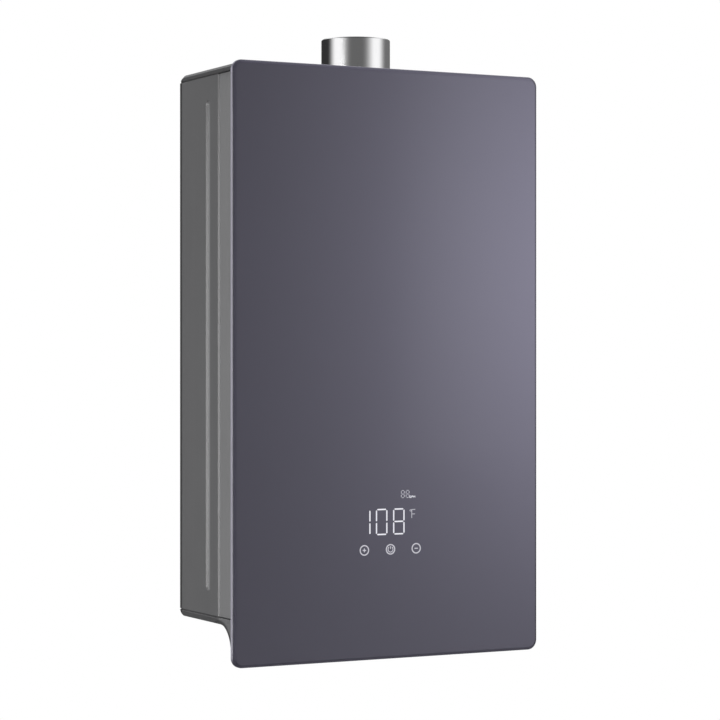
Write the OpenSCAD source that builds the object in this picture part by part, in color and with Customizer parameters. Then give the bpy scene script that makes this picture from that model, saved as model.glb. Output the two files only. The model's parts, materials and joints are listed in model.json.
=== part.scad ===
// Tankless gas water heater with a glass front, hung on a wall.
// Millimetres. +Z is up, the front faces -Y and the wall plane is y = 0.
// The origin is the centre of the wall screw pattern on that plane.

/* [Casing] */
// Width of the sheet casing
body_w = 370; // [350:1:400]
// Height of the casing with both end caps
body_h = 589; // [575:1:640]
// Depth from the wall to the back of the glass
body_d = 137; // [134:1:150]
// Thickness of the sheet steel
sheet = 1; // [0.8:0.1:1.2]
// Outer radius of the casing's rear bends
bend_r = 3; // [2:0.5:5]
// Depth of the front frame's side flanges
flange_d = 31.5; // [28:0.5:36]
// Depth of the front frame's end returns
return_d = 14; // [8:1:20]
// Open seam between the casing and the caps, and its bevel
seam_gap = 1; // [0.6:0.1:1.5]
// Step from the casing's sides in to the front frame
strip_in = 1.2; // [0.8:0.1:1.6]
// Slip clearance between pieces that slide into one another
slip = 0.3; // [0.2:0.05:0.5]
// Thickness of the foam seal in front of the casing's tongues
seal_t = 5; // [3:0.5:7]
// Width of the foam seal
seal_w = 2; // [1.5:0.5:3]
// Thickness of the top and base decks
deck_t = 1.2; // [1:0.1:1.6]
// Height of the decks' rear flanges
deck_flange = 18; // [12:1:20]

/* [Stamped beads] */
// Width of a stamped bead
bead_w = 11; // [8:0.5:14]
// Depth of a stamped bead
bead_depth = 2.2; // [1.5:0.1:3]
// Distance from a side bead's end to the casing's end
bead_margin = 33; // [20:1:60]
// Distance from the wall to the side beads
bead_setback = 77; // [72:1:82]
// Distance from the middle to the back beads
back_bead_x = 150; // [145:1:158]
// Length of the back beads
back_bead_len = 400; // [200:10:420]

/* [Wall fixing] */
// Diameter of the wall screw holes
wall_hole_d = 7; // [5:0.5:9]
// Spacing of the wall screw holes across the back
wall_hole_dx = 240; // [200:5:244]
// Distance from the wall screw holes to the casing's ends
wall_hole_inset = 62; // [56:0.5:80]
// Side of a reinforcing pad
wall_pad = 40; // [24:1:44]
// Thickness of a reinforcing pad
wall_pad_t = 1.5; // [1:0.1:2.5]

/* [Glass front] */
// How far the glass stands past each side of the casing
glass_over = 1; // [0:0.25:4]
// Thickness of the glass panel
glass_t = 6; // [4:0.5:8]
// Corner radius of the glass panel
glass_corner = 11; // [7:0.5:20]
// Width of the soft polished edge
glass_edge_w = 4.5; // [2:0.25:4.75]
// Radius of the soft polished edge
glass_edge_r = 5.7; // [5:0.1:8]
// How far the glass stands above the top cap
glass_rise = 4; // [2:0.5:12]
// How far the glass hangs below the casing
glass_drop = 43; // [36:1:60]
// Thickness of the bond tape under the glass
bond_t = 0.4; // [0.3:0.1:1]
// Width of the bond tape
bond_w = 12; // [6:1:20]
// Distance from the frame's edge to the bond tape
bond_inset = 6; // [3:1:12]

/* [End caps] */
// Height of the caps' visible rims
cap_h = 7; // [5:0.5:10]
// Wall thickness of the caps
cap_wall = 2.2; // [1.8:0.1:3]
// Radius of the caps' rear edge
cap_round = 11; // [8:0.5:14]
// Bevel of the top cap's side edges
cap_edge = 3; // [1:0.25:3]
// Bevel of the bottom cap's and skirt's side edges
low_edge = 1.2; // [0.6:0.1:2]
// Length of the caps' lips inside the casing
cap_lip = 8; // [5:0.5:12]
// Thickness of the caps' lips
cap_lip_t = 1.6; // [1.2:0.1:2.2]
// Radius of the curved skirt behind the hanging glass
skirt_r = 28; // [20:1:32]
// Thickness of the skirt where its curve ends
skirt_edge = 2.4; // [2.2:0.1:4]
// Length of the skirt's tapered tip
skirt_tip = 5; // [2:0.5:6]
// Thickness of the end of the skirt's tip
skirt_end = 0.8; // [0.6:0.1:1.5]
// Distance from the middle to the cap screws
cap_screw_x = 150; // [140:1:160]
// Distance from the wall to the rear cap screws
cap_screw_rear = 20; // [16:1:30]
// Diameter of the cap screws
cap_screw_d = 4; // [3:0.5:5]
// Head diameter of the cap screws
cap_screw_head_d = 8; // [6:0.5:9]
// Head height of the cap screws
cap_screw_head_h = 2.6; // [2:0.1:4]
// Wall of the screw bosses around the head's well
cap_boss_wall = 1.8; // [1.4:0.1:3]
// Depth of the screw heads' wells
cap_well = 8; // [5:0.5:10]
// Width of the air slots in the bottom cap and base deck
vent_w = 3.5; // [2:0.5:4]
// Length of the air slots
vent_len = 34; // [20:1:36]
// Pitch of the air slots
vent_pitch = 8; // [6:0.5:12]
// Number of air slots in a row
vent_n = 9; // [3:1:9]

/* [Flue] */
// Outside diameter of the flue collar
flue_d = 76; // [70:1:77]
// Height of the flue collar above the top cap
flue_rise = 43.2; // [41:0.1:60]
// Wall thickness of the flue collar
flue_wall = 1; // [0.8:0.1:1.2]
// Radius of the flue collar's rolled rim
rim_r = 1.5; // [1.25:0.25:4]
// Distance from the wall to the flue's axis
flue_setback = 62.5; // [61:0.5:64]
// Diameter of the collar's flange
flue_flange_d = 104; // [98:1:110]
// Thickness of the collar's flange
flue_flange_t = 1.2; // [1:0.1:2]
// Thickness of the collar's gasket
gasket_t = 1.5; // [1:0.1:3]
// Pitch circle of the collar's screws
flue_screw_pcd = 93; // [90:1:94]
// Diameter of the collar's screws
flue_screw_d = 3; // [2.5:0.5:3.5]
// Head diameter of the collar's screws
flue_screw_head_d = 6; // [5:0.5:7]
// Head height of the collar's screws
flue_screw_head_h = 2.2; // [1.5:0.1:3]
// Depth of the flap's pin below the top of the cap
flap_drop = 8.5; // [8:0.5:10]
// Distance from the flue's axis back to the flap's pin
flap_offset = 10; // [6:0.5:14]
// Thickness of the backdraft flap
flap_t = 0.8; // [0.6:0.1:1.2]
// Gap between the open backdraft flap and the collar
flap_gap = 0.4; // [0.3:0.1:1]
// Diameter of the flap's pin
flap_pin_d = 3; // [2:0.5:4]
// Wall of the flap's hinge tube
flap_hub_wall = 1; // [0.8:0.1:1.4]
// Length of the flap's hinge tube
flap_hub_len = 60; // [30:1:62]
// Running clearance of the flap on its pin
pin_play = 0.1; // [0.05:0.05:0.2]

/* [Fan] */
// Depth of the fan volute
scroll_d = 76; // [76:1:78]
// Sheet thickness of the fan volute
scroll_wall = 1; // [0.8:0.1:1]
// Distance from the flue's axis to the fan's axis
fan_offset = 18; // [14:1:20]
// Width of the volute's throat
throat_w = 80; // [79:1:90]
// Depth of the throat's top below the casing's top
throat_drop = 32.5; // [31:0.5:36]
// Height of the throat's top above the fan's axis
throat_h = 57; // [54:1:64]
// Overlap of the collar on the throat's spigot
spigot_len = 12; // [6:1:14]
// Diameter of the fan wheel
wheel_d = 92; // [84:1:96]
// Width of the fan wheel
wheel_w = 50; // [40:1:56]
// Sheet thickness of the fan wheel
wheel_t = 1.2; // [0.8:0.1:1.6]
// Least gap between the wheel and the volute
cutoff_gap = 5; // [3:0.5:6]
// Number of fan blades
blade_n = 30; // [16:1:36]
// Radial length of a fan blade
blade_len = 9; // [6:0.5:11]
// Inset of the blades from the edges of the wheel's rings
blade_inset = 0.6; // [0.3:0.1:1]
// Thickness of a fan blade
blade_t = 0.9; // [0.6:0.1:1.4]
// Forward sweep of a fan blade in degrees
blade_sweep = 14; // [6:1:20]
// Diameter of the wheel's hub
wheel_hub_d = 16; // [12:1:24]
// Length of the wheel's hub
wheel_hub_len = 22; // [14:1:30]
// Gap between the wheel and the volute's front plate
wheel_gap = 10; // [5:1:14]
// Diameter of the inlet eye
eye_d = 68; // [56:1:72]
// Thickness of the volute's front plate
fan_plate_t = 1.2; // [1:0.1:2]
// Diameter of the shaft's hole in the front plate
plate_hole_d = 16; // [10:1:20]
// Diameter of the fan motor
motor_d = 56; // [46:1:64]
// Gap between the motor and the front frame
motor_gap = 4; // [2:0.5:8]
// Height of the motor's front bearing cap
motor_nose = 5; // [3:0.5:8]
// Diameter of the motor's front bearing cap
motor_nose_d = 24; // [18:1:30]
// Diameter of the motor shaft
shaft_d = 6; // [5:0.5:8]
// Running clearance of the shaft in the motor
shaft_play = 0.05; // [0.03:0.01:0.08]

/* [Heat exchanger] */
// Depth of the exchanger shell
shell_d = 94; // [90:1:96]
// Wall thickness of the exchanger shell
shell_wall = 0.8; // [0.6:0.1:1.2]
// Width of the shell's flanges
shell_lip = 6; // [4:0.5:7]
// Height of the exhaust hood
hood_h = 36; // [28:1:44]
// Sheet thickness of the exhaust hood
hood_wall = 1; // [0.8:0.1:1.5]
// Width of the hood's riser
riser_w = 98; // [90:1:110]
// Depth of the hood's riser
riser_d = 19; // [16:0.5:20]
// Height of the riser above the fan's axis
riser_rise = 45; // [40:1:50]
// Pitch of the water tubes
tube_pitch = 18.5; // [18:0.1:18.8]
// Outside diameter of the water tubes
tube_d = 14; // [12:0.5:15]
// Wall thickness of all water tubes and pipes
tube_wall = 1; // [0.8:0.1:1.2]
// Depth of the water tubes below the shell's top
tube_drop = 32; // [28:1:44]
// Length of tube outside the shell before a bend
tube_stub = 4; // [2:0.5:6]
// Number of fins
fin_n = 25; // [11:2:31]
// Thickness of a fin
fin_t = 0.8; // [0.4:0.1:1.2]
// Height of the fins above the tubes
fin_top = 24; // [14:1:26]
// Radius of the fins' lobes below the tubes
fin_lobe = 9.25; // [8.5:0.25:9.25]
// Gap between the fins and the shell
fin_gap = 1; // [0.5:0.1:2]
// Diameter of the overheat thermostat
stat_d = 16; // [12:1:20]
// Height of the overheat thermostat
stat_h = 8; // [6:0.5:12]
// Thickness of the thermostat's flange
stat_flange_t = 1.2; // [0.8:0.1:2]

/* [Burner] */
// Room between the gas valve's coils and the burner box
burner_room = 34.7; // [24:0.1:44]
// Height of the burner box
burner_h = 72; // [64:1:80]
// Sheet thickness of the burner box
burner_wall = 1; // [0.8:0.1:1.5]
// Number of burner tiles
tile_n = 9; // [5:2:9]
// Gap between the burner tiles and the box's sides
tile_margin = 10; // [6:0.5:16]
// Thickness of a burner tile
tile_w = 12; // [8:0.5:14]
// Sheet thickness of a burner tile
tile_wall = 1; // [0.6:0.1:1.4]
// Height of a burner tile
tile_h = 52; // [44:1:58]
// Fall of a burner tile's shoulders
tile_shoulder = 10; // [6:0.5:14]
// Number of flame slots in a tile
slot_n = 8; // [4:1:10]
// Width of a flame slot
slot_w = 2.5; // [1.5:0.5:4]
// Depth of a flame slot
slot_h = 6; // [3:0.5:8]
// Diameter of a tile's gas throat
venturi_d = 9; // [6:0.5:10]
// Height of the gas throats above the burner's floor
venturi_z = 11; // [8:0.5:14]
// Depth of the injector rail
rail_d = 13; // [11:0.5:14]
// Height of the injector rail
rail_h = 16; // [13:0.5:18]
// Gap between the injector rail and the burner box
rail_gap = 4; // [3:0.5:5]
// Width of the rail's two end tabs
rail_tab = 5; // [4:0.5:5]
// Bore of the injector rail
rail_bore = 7; // [5:0.5:8]
// Diameter of an injector nozzle
nozzle_d = 6; // [4:0.5:7]
// Length of an injector nozzle
nozzle_len = 3; // [2:0.25:3.5]
// Bore of an injector nozzle
nozzle_bore = 1.2; // [0.8:0.1:2]
// Distance between the two electrodes
electrode_dx = 80; // [40:2:140]
// Height of the electrodes above the burner box
electrode_z = 14; // [10:1:20]
// Diameter of an electrode's ceramic
electrode_d = 7; // [5:0.5:8]
// Reach of an electrode's ceramic into the shell
electrode_in = 14; // [8:1:20]
// Reach of an electrode's ceramic out of the shell
electrode_out = 9; // [7:1:12]
// Reach of an electrode's wire past its ceramic
electrode_wire = 16; // [8:1:20]
// Diameter of an electrode's wire
electrode_wire_d = 2; // [1:0.5:3]
// Thickness of an electrode's flange
electrode_flange_t = 2; // [1:0.5:3]
// Width of the bracket behind the burner box
bracket_w = 170; // [120:2:200]
// Height of the bracket
bracket_h = 40; // [24:1:50]
// Sheet thickness of the bracket
bracket_t = 1.5; // [1:0.1:2.5]

/* [Connections] */
// Distance from a side to the hot and cold connections
fit_inset = 55; // [52:1:60]
// Diameter of the pipe threads
thread_d = 20.96; // [16.66:0.01:21]
// Length of the pipe threads
thread_len = 22; // [16:1:26]
// Gap between a pipe thread and the bottom cap
thread_gap = 3; // [1:0.5:5]
// Diameter of a connection's shoulder
shoulder_d = 26; // [23:0.5:28]
// Width over the corners of a connection's hexagon
hex_d = 38; // [32:1:40]
// Height of a connection's hexagon
hex_h = 5; // [4:0.5:8]
// Diameter of a connection's neck
neck_d = 21; // [19.5:0.5:24]
// Height of a water connection's neck
neck_h = 24; // [20:1:30]
// Height of the gas connection's neck
gas_neck_h = 20; // [12:1:24]
// Bore of the connections
fit_bore = 12; // [9:0.5:12]
// Outside diameter of the copper pipes
pipe_d = 15; // [14:0.5:16]
// Bend radius of the copper pipes
pipe_bend = 18; // [16:0.5:18.5]
// Straight pipe between its last bend and the exchanger
pipe_lead = 3; // [1:0.5:6]
// Depth of a pipe's socket
socket_len = 10; // [6:1:12]
// Clearance of a pipe in its socket
socket_play = 0.1; // [0.05:0.05:0.2]
// Drop from the exchanger tubes to the pipes' jogs
jog_drop = 100; // [60:5:140]
// Height of the thermistor's clip on the hot pipe
clip_h = 10; // [6:0.5:14]
// Outside diameter of the inlet filter's cage
filter_d = 11; // [7:0.5:11]
// Length of the inlet filter's cage
filter_len = 26; // [16:1:30]
// Wall thickness of the inlet filter
filter_wall = 0.8; // [0.6:0.1:1]
// Diameter of the inlet filter's rim
filter_rim_d = 15.5; // [14:0.5:16]
// Thickness of the inlet filter's rim
filter_rim_t = 2; // [1:0.25:3]

/* [Flow sensor] */
// Diameter of the flow sensor body
sensor_d = 30; // [27:1:34]
// Length of the turbine chamber
chamber_len = 20; // [16:1:26]
// Diameter of the turbine chamber
chamber_d = 19; // [16:0.5:20]
// Thickness of the sensor body's end walls
sensor_end = 5; // [4:0.5:8]
// Width of the spiders that hold the axle
spider_w = 3; // [2.5:0.5:4]
// Diameter of the turbine's axle
axle_d = 2; // [1.5:0.1:2.4]
// Running clearance of the turbine on its axle
axle_play = 0.06; // [0.04:0.01:0.1]
// Diameter of the turbine's hub
rotor_hub_d = 6; // [5:0.5:8]
// Gap round the turbine
rotor_gap = 0.7; // [0.5:0.1:1.2]
// Gap at the turbine's ends
rotor_end = 0.5; // [0.3:0.1:1]
// Number of turbine blades
rotor_n = 5; // [3:1:7]
// Thickness of a turbine blade
rotor_t = 1; // [0.8:0.1:1.4]
// Lean of a turbine blade in degrees
rotor_lean = 28; // [10:1:35]

/* [Drain] */
// Distance from the cold connection to the drain
drain_dx = 35; // [34:1:36]
// Outside diameter of the drain's socket
drain_d = 22; // [20:0.5:24]
// Diameter of the drain plug's stem
drain_stem_d = 12; // [9:0.5:13]
// Running clearance of the drain plug
drain_play = 0.1; // [0.05:0.01:0.1]
// Length of the drain plug's stem in the socket
drain_stem_len = 14; // [10:1:16]
// Depth left over the stem in the socket
drain_well = 4; // [2:0.5:6]
// Thickness of the drain socket's closed end
drain_end_t = 2.2; // [1.5:0.1:3]
// Diameter of the drain plug's knob
drain_knob_d = 20; // [17:0.5:22]
// Height of the drain plug's knob below the cap
drain_knob_h = 12; // [8:1:18]
// Number of grips on the drain plug's knob
drain_grips = 8; // [5:1:12]
// Diameter of a grip's groove
drain_grip_d = 3; // [2:0.5:4]
// Thickness of the drain seal
drain_seal_t = 2; // [1.5:0.25:3]
// Outside diameter of the drain seal
drain_seal_d = 18; // [16:0.5:19]
// Running gap between the seal and its seats
drain_seal_gap = 0.05; // [0.03:0.01:0.1]
// Diameter of the arm that feeds the drain
drain_arm_d = 12; // [10:0.5:14]
// Bore of the arm that feeds the drain
drain_arm_bore = 6; // [4:0.5:8]

/* [Gas valve] */
// Width of the gas valve body
valve_w = 90; // [82:1:110]
// Depth of the gas valve body
valve_d = 60; // [46:1:62]
// Height of the gas valve body
valve_h = 50; // [44:1:56]
// Edge radius of the gas valve body
valve_edge = 6; // [3:0.5:10]
// Distance from the middle to the upright coils
coil_x = 27; // [24:1:29]
// Outside diameter of a coil
coil_d = 28; // [22:1:30]
// Length of a coil
coil_len = 36; // [30:1:40]
// Thickness of a coil's end plate
coil_plate_t = 2; // [1.5:0.5:3]
// Side of a coil's end plate
coil_plate = 32; // [30:1:34]
// Diameter of a plunger
plunger_d = 9; // [7:0.5:11]
// Running clearance of a plunger
plunger_play = 0.08; // [0.05:0.01:0.1]
// Travel of a plunger
plunger_travel = 3; // [2:0.5:4]
// Diameter of a plunger's valve disc
disc_d = 18; // [14:0.5:20]
// Thickness of a plunger's valve disc
disc_t = 3; // [2:0.5:4]
// Gap round a valve disc
disc_gap = 1.5; // [1:0.25:2]
// Gap between a valve disc and its seat
seat_gap = 0.3; // [0.3:0.05:0.5]
// Depth of a valve chamber
valve_chamber = 16; // [12:1:20]
// Height of the side coil above the valve's underside
side_coil_z = 25; // [22:1:28]
// Outside diameter of the gas feed pipe
feed_d = 12; // [10:0.5:12]
// Bend radius of the gas feed pipe
feed_bend = 16; // [14:0.5:17]
// Height of the gas outlet above the valve's underside
feed_z = 20; // [16:1:30]

/* [Electrics] */
// Height of the display's middle above the glass's lower edge
display_z = 146; // [130:1:170]
// Width of the display window in the frame
display_w = 86; // [82:1:100]
// Height of the display window in the frame
display_h = 84; // [80:1:100]
// Margin of the display board round its window
board_margin = 8; // [7:0.5:12]
// Thickness of the circuit boards
board_t = 1.6; // [1:0.2:2]
// Height of the display board's standoffs
standoff_h = 5; // [4:0.5:6]
// Diameter of the standoffs
standoff_d = 6; // [4:0.5:7]
// Width of the display's light box
light_w = 68; // [60:1:72]
// Height of the display's light box
light_h = 48; // [40:1:52]
// Wall thickness of the display's light box
light_wall = 2; // [1.2:0.1:3]
// Height of the light box's middle above the display's
light_rise = 11; // [10:0.5:13]
// Pitch of the touch pads
pad_pitch = 31.8; // [26:0.1:34]
// Distance from the display's middle down to the touch pads
pad_drop = 28; // [26:0.5:32]
// Diameter of a touch pad
pad_d = 11; // [8:0.5:14]
// Width of the control housing on the side wall
ctrl_w = 60; // [40:1:60]
// Height of the control housing
ctrl_h = 130; // [90:1:150]
// Depth of the control housing
ctrl_d = 34; // [26:1:36]
// Wall thickness of the control housing
ctrl_wall = 2; // [1.5:0.1:3]
// Diameter of the control board's capacitors
capacitor_d = 11; // [8:0.5:14]
// Height of the control housing above the base deck
ctrl_z = 130; // [110:1:160]
// Gap between wall-mounted boxes and the rear wall
box_gap = 7; // [6:0.5:9]
// Width of the spark igniter
igniter_w = 44; // [30:1:52]
// Height of the spark igniter
igniter_h = 50; // [36:1:60]
// Depth of the spark igniter
igniter_d = 26; // [20:1:30]
// Diameter of the pressure switch
switch_d = 44; // [34:1:50]
// Depth of the pressure switch
switch_t = 20; // [14:1:26]
// Diameter of the pressure switch's hose barbs
barb_d = 6; // [4:0.5:8]
// Length of the hose barbs
barb_len = 12; // [8:1:16]
// Distance from the middle to the cable gland
gland_x = 66; // [50:1:90]
// Distance from the wall to the cable gland
gland_setback = 32; // [24:1:40]
// Bore of the cable gland
gland_bore = 8; // [6:0.5:9]
// Diameter of the cable gland's body
gland_d = 16; // [14:0.5:18]
// Width over the corners of the gland's nut
gland_hex_d = 24; // [21:0.5:26]
// Height of the gland's nuts
gland_hex_h = 5; // [4:0.5:7]
// Reach of the gland below the bottom cap
gland_drop = 10; // [6:0.5:16]

/* [Hidden] */
$fn = 64;
// Overrun of a cut past the face that it opens
over = 1;

// Casing planes
half_w = body_w / 2;
z_top = body_h / 2;
z_bot = -z_top;
side_top = z_top - cap_h - seam_gap;
side_bot = -side_top;
y_glass = -body_d;
y_plate = y_glass + bond_t;
y_plate_in = y_plate + sheet;
y_flange = y_plate + flange_d;
jog = strip_in + sheet + slip;
y_side = y_flange + jog;
y_tongue = y_plate_in + seal_t;
y_rear = -sheet;
in_x = half_w - sheet;
lip_x = in_x - slip;
frame_x = half_w - strip_in;
tongue_x = half_w - jog;
tongue_in = tongue_x - sheet;
bead_y = -bead_setback;
bead_len = body_h - 2 * bead_margin;
wall_hole_z = z_top - wall_hole_inset;
glass_w = body_w + 2 * glass_over;
glass_h = body_h + glass_rise + glass_drop;
glass_z0 = z_bot - glass_drop;
glass_mid = glass_z0 + glass_h / 2;

// Cap and deck planes
y_cap = y_glass + slip;
cap_d = -y_cap;
deck_z = side_top - cap_lip - slip;
deck_in = deck_z - deck_t;
deck_x = min(in_x - bend_r, tongue_x - seal_w - slip);
y_deck = y_plate_in + slip;
y_skirt = y_cap + skirt_edge + skirt_r;
cap_lip_d = y_rear - 2 * slip - y_side - sheet;
cap_boss_d = cap_screw_head_d + 2 * slip + 2 * cap_boss_wall;
cap_screw_y = y_skirt + cap_boss_d / 2 + cap_wall;
cap_screw_end = deck_t + slip;

// Flue and fan planes
stack_y = -flue_setback;
flue_r = flue_d / 2;
flue_in = flue_r - flue_wall;
flange_z = z_top + gasket_t;
collar_top = z_top + flue_rise;
throat_z = z_top - throat_drop;
collar_bot = throat_z + slip;
spigot_r = flue_in - slip;
flap_z = z_top - flap_drop;
flap_y = stack_y + flap_offset;
flap_r = sqrt(flue_in * flue_in - flap_offset * flap_offset) - flap_gap;
flap_hub_d = flap_pin_d + 2 * pin_play + 2 * flap_hub_wall;
flap_pin_half = sqrt(flue_r * flue_r - flap_offset * flap_offset) - flue_wall / 4;
fan_z = throat_z - throat_h;
y_scroll = stack_y + scroll_d / 2;
y_scroll_front = y_scroll - scroll_d;
y_fan_plate = y_scroll_front - fan_plate_t;
wheel_r = wheel_d / 2;
scroll_r0 = wheel_r + cutoff_gap;
scroll_r1 = fan_offset + throat_w / 2;
y_wheel = y_scroll_front + wheel_gap;
y_motor = y_plate_in + motor_gap;
motor_len = y_fan_plate - y_motor;

// Fire stack planes
fit_x = half_w - fit_inset;
shell_w = 2 * (fit_x - pipe_bend - pipe_lead - tube_stub);
hood_top = fan_z - scroll_r1 - slip;
hood_bot = hood_top - hood_h;
base_top = -deck_in;
fit_top = base_top + hex_h;
valve_z = fit_top + gas_neck_h;
valve_top = valve_z + valve_h;
burner_bot = valve_top + coil_len + burner_room;
shell_bot = burner_bot + burner_h;
y_shell = stack_y - shell_d / 2;
y_shell_rear = y_shell + shell_d;
y_riser = y_scroll + riser_d;
tube_n = 5;
tube_z = hood_bot - tube_drop;
tube_end = shell_w / 2 + tube_stub;
tube_ys = [for (i = [0 : tube_n - 1]) stack_y + (i - (tube_n - 1) / 2) * tube_pitch];
burner_floor = burner_bot + burner_wall;
tile_pitch = (shell_w - 2 * burner_wall - 2 * tile_margin - tile_w) / (tile_n - 1);
tile_xs = [for (i = [0 : tile_n - 1]) (i - (tile_n - 1) / 2) * tile_pitch];
gas_z = burner_floor + venturi_z;
y_rail = y_shell - rail_gap - rail_d;
rail_half = tile_xs[tile_n - 1] + tile_w / 2 + rail_tab;

// Connection planes
thread_top = z_bot - thread_gap;
water_neck_top = fit_top + neck_h;
sensor_len = chamber_len + 2 * sensor_end + socket_len;
sensor_top = water_neck_top + sensor_len;
chamber_z = water_neck_top + sensor_end;
jog_z = tube_z - jog_drop;
drain_x = fit_x + drain_dx;
drain_bot = base_top + hex_h / 2;
drain_seat = drain_bot - drain_seal_gap;
drain_shoulder = drain_seat - drain_seal_t - drain_seal_gap;
drain_top = drain_bot + drain_stem_len + drain_well + drain_end_t;
drain_arm_z = drain_bot + drain_stem_len + drain_well - drain_arm_d / 2;
drain_knob_z = z_bot - drain_knob_h;
chamber_r = disc_d / 2 + disc_gap;
y_valve = stack_y - valve_d / 2;
y_feed = y_rail + rail_d / 2;

// Electrics planes
disp_z = glass_z0 + display_z;
y_board = y_plate_in + standoff_h;
board_w = display_w + 2 * board_margin;
board_h = display_h + 2 * board_margin;
box_y = y_rear - box_gap;

// Shared shapes

// Plan with its rear edge on y = 0 and round rear corners
module rear_rounded(w, d, r) {
    translate([-w / 2, -d]) square([w, d - r]);
    translate([-w / 2 + r, -d]) square([w - 2 * r, d]);
    for (s = [-1, 1]) translate([s * (w / 2 - r), -r]) circle(r = r);
}

// Centred extrusion along X of a YZ profile
module along_x(len) {
    rotate([90, 0, 90]) linear_extrude(len, center = true) children();
}

// Extrusion of an XZ profile from y towards the front
module towards_front(y, len) {
    translate([0, y, 0]) rotate([90, 0, 0]) linear_extrude(len) children();
}

// Cylinder from point [x, y, z] towards the front
module front_rod(p, d, len) {
    translate(p) rotate([90, 0, 0]) cylinder(d = d, h = len);
}

// Rectangular block between two corners
module block(a, b) {
    translate(a) cube(b - a);
}

// Stamped bead along Z that grows from x = 0 towards +X with 45 degree flanks
module bead(len, w, depth, lead) {
    run = len - w;
    half = w / 2;
    linear_extrude(run, center = true)
        polygon([[-lead, -half], [0, -half], [depth, depth - half],
                 [depth, half - depth], [0, half], [-lead, half]]);
    for (m = [0, 1]) mirror([0, 0, m]) translate([0, 0, run / 2]) rotate([90, 0, 90])
        rotate_extrude(angle = 180)
            polygon([[0, -lead], [half, -lead], [half, 0], [half - depth, depth], [0, depth]]);
}

// Edge section of a slab with a soft front edge
module edge_section(reach, t, edge_w, edge_r) {
    difference() {
        square([reach, t]);
        translate([reach - edge_w, t - edge_r]) difference() {
            square(edge_r + over);
            circle(r = edge_r);
        }
    }
}

// Slab on z = 0 with round corners and a soft upper edge
module soft_slab(w, h, t, corner, edge_w, edge_r) {
    cx = w / 2 - corner;
    cy = h / 2 - corner;
    translate([-cx, -cy, 0]) cube([2 * cx, 2 * cy, t]);
    for (i = [0 : 3]) {
        reach = i % 2 == 0 ? cx : cy;
        run = i % 2 == 0 ? cy : cx;
        rotate(90 * i) translate([reach, run, 0]) {
            rotate([90, 0, 0]) linear_extrude(2 * run) edge_section(corner, t, edge_w, edge_r);
            rotate_extrude(angle = 90) edge_section(corner, t, edge_w, edge_r);
        }
    }
}

// Ring section of a pipe
module pipe_section(d, wall) {
    difference() {
        circle(d = d);
        circle(d = d - 2 * wall);
    }
}

// Straight pipe from a to b
module pipe_straight(a, b, d, wall) {
    v = b - a;
    len = norm(v);
    translate(a) rotate([0, acos(v.z / len), atan2(v.y, v.x)])
        linear_extrude(len) pipe_section(d, wall);
}

// Quarter bend at corner p, from along u to along w
module pipe_bend_at(p, u, w, r, d, wall) {
    n = cross(u, w);
    c = p - u * r + w * r;
    multmatrix([[-w.x, u.x, n.x, c.x], [-w.y, u.y, n.y, c.y], [-w.z, u.z, n.z, c.z], [0, 0, 0, 1]])
        rotate_extrude(angle = 90) translate([r, 0]) pipe_section(d, wall);
}

// Pipe through corner points, with square turns of radius r
module pipe_run(points, r, d, wall) {
    last = len(points) - 1;
    for (i = [0 : last - 1]) {
        u = (points[i + 1] - points[i]) / norm(points[i + 1] - points[i]);
        a = points[i] + (i > 0 ? u * r : u * 0);
        b = points[i + 1] - (i < last - 1 ? u * r : u * 0);
        pipe_straight(a, b, d, wall);
        if (i < last - 1) {
            w = (points[i + 2] - points[i + 1]) / norm(points[i + 2] - points[i + 1]);
            pipe_bend_at(points[i + 1], u, w, r, d, wall);
        }
    }
}

// Casing

// Back and sides; each side steps in to its tongue by a 45 degree flank
module casing_plan() {
    miter = sheet * tan(45 / 2);
    difference() {
        rear_rounded(body_w, -y_side - miter, bend_r);
        translate([0, -sheet]) rear_rounded(body_w - 2 * sheet, body_d, bend_r - sheet);
    }
    for (m = [0, 1]) mirror([m, 0])
        polygon([[half_w, y_side + miter], [half_w, y_side], [tongue_x, y_flange], [tongue_x, y_tongue],
                 [tongue_in, y_tongue], [tongue_in, y_flange + miter], [in_x, y_side + miter]]);
}

module at_wall_holes() {
    for (x = [-1, 1], z = [-1, 1])
        translate([x * wall_hole_dx / 2, 0, z * wall_hole_z]) children();
}

module rear_casing() {
    boss_w = bead_w + sheet;
    color("#6a6b6e") difference() {
        union() {
            translate([0, 0, side_bot]) linear_extrude(2 * side_top) casing_plan();
            for (m = [0, 1]) mirror([m, 0, 0]) {
                translate([-in_x, bead_y, 0]) bead(bead_len + sheet, boss_w, bead_depth, sheet / 2);
                translate([back_bead_x, y_rear, 0]) rotate(-90)
                    bead(back_bead_len + sheet, boss_w, bead_depth, sheet / 2);
            }
        }
        for (m = [0, 1]) mirror([m, 0, 0]) {
            translate([-half_w, bead_y, 0]) bead(bead_len, bead_w, bead_depth, over);
            translate([back_bead_x, 0, 0]) rotate(-90) bead(back_bead_len, bead_w, bead_depth, over);
        }
        at_wall_holes() front_rod([0, over, 0], wall_hole_d, sheet + 2 * over);
    }
}

module wall_pads() {
    color("#8d9094") at_wall_holes() difference() {
        block([-wall_pad / 2, y_rear - wall_pad_t, -wall_pad / 2], [wall_pad / 2, y_rear, wall_pad / 2]);
        front_rod([0, y_rear + over, 0], wall_hole_d, wall_pad_t + 2 * over);
    }
}

module at_standoffs() {
    for (x = [-1, 1], z = [-1, 1])
        translate([x * (board_w - standoff_d) / 2, y_board, disp_z + z * (board_h - standoff_d) / 2])
            children();
}

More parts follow.
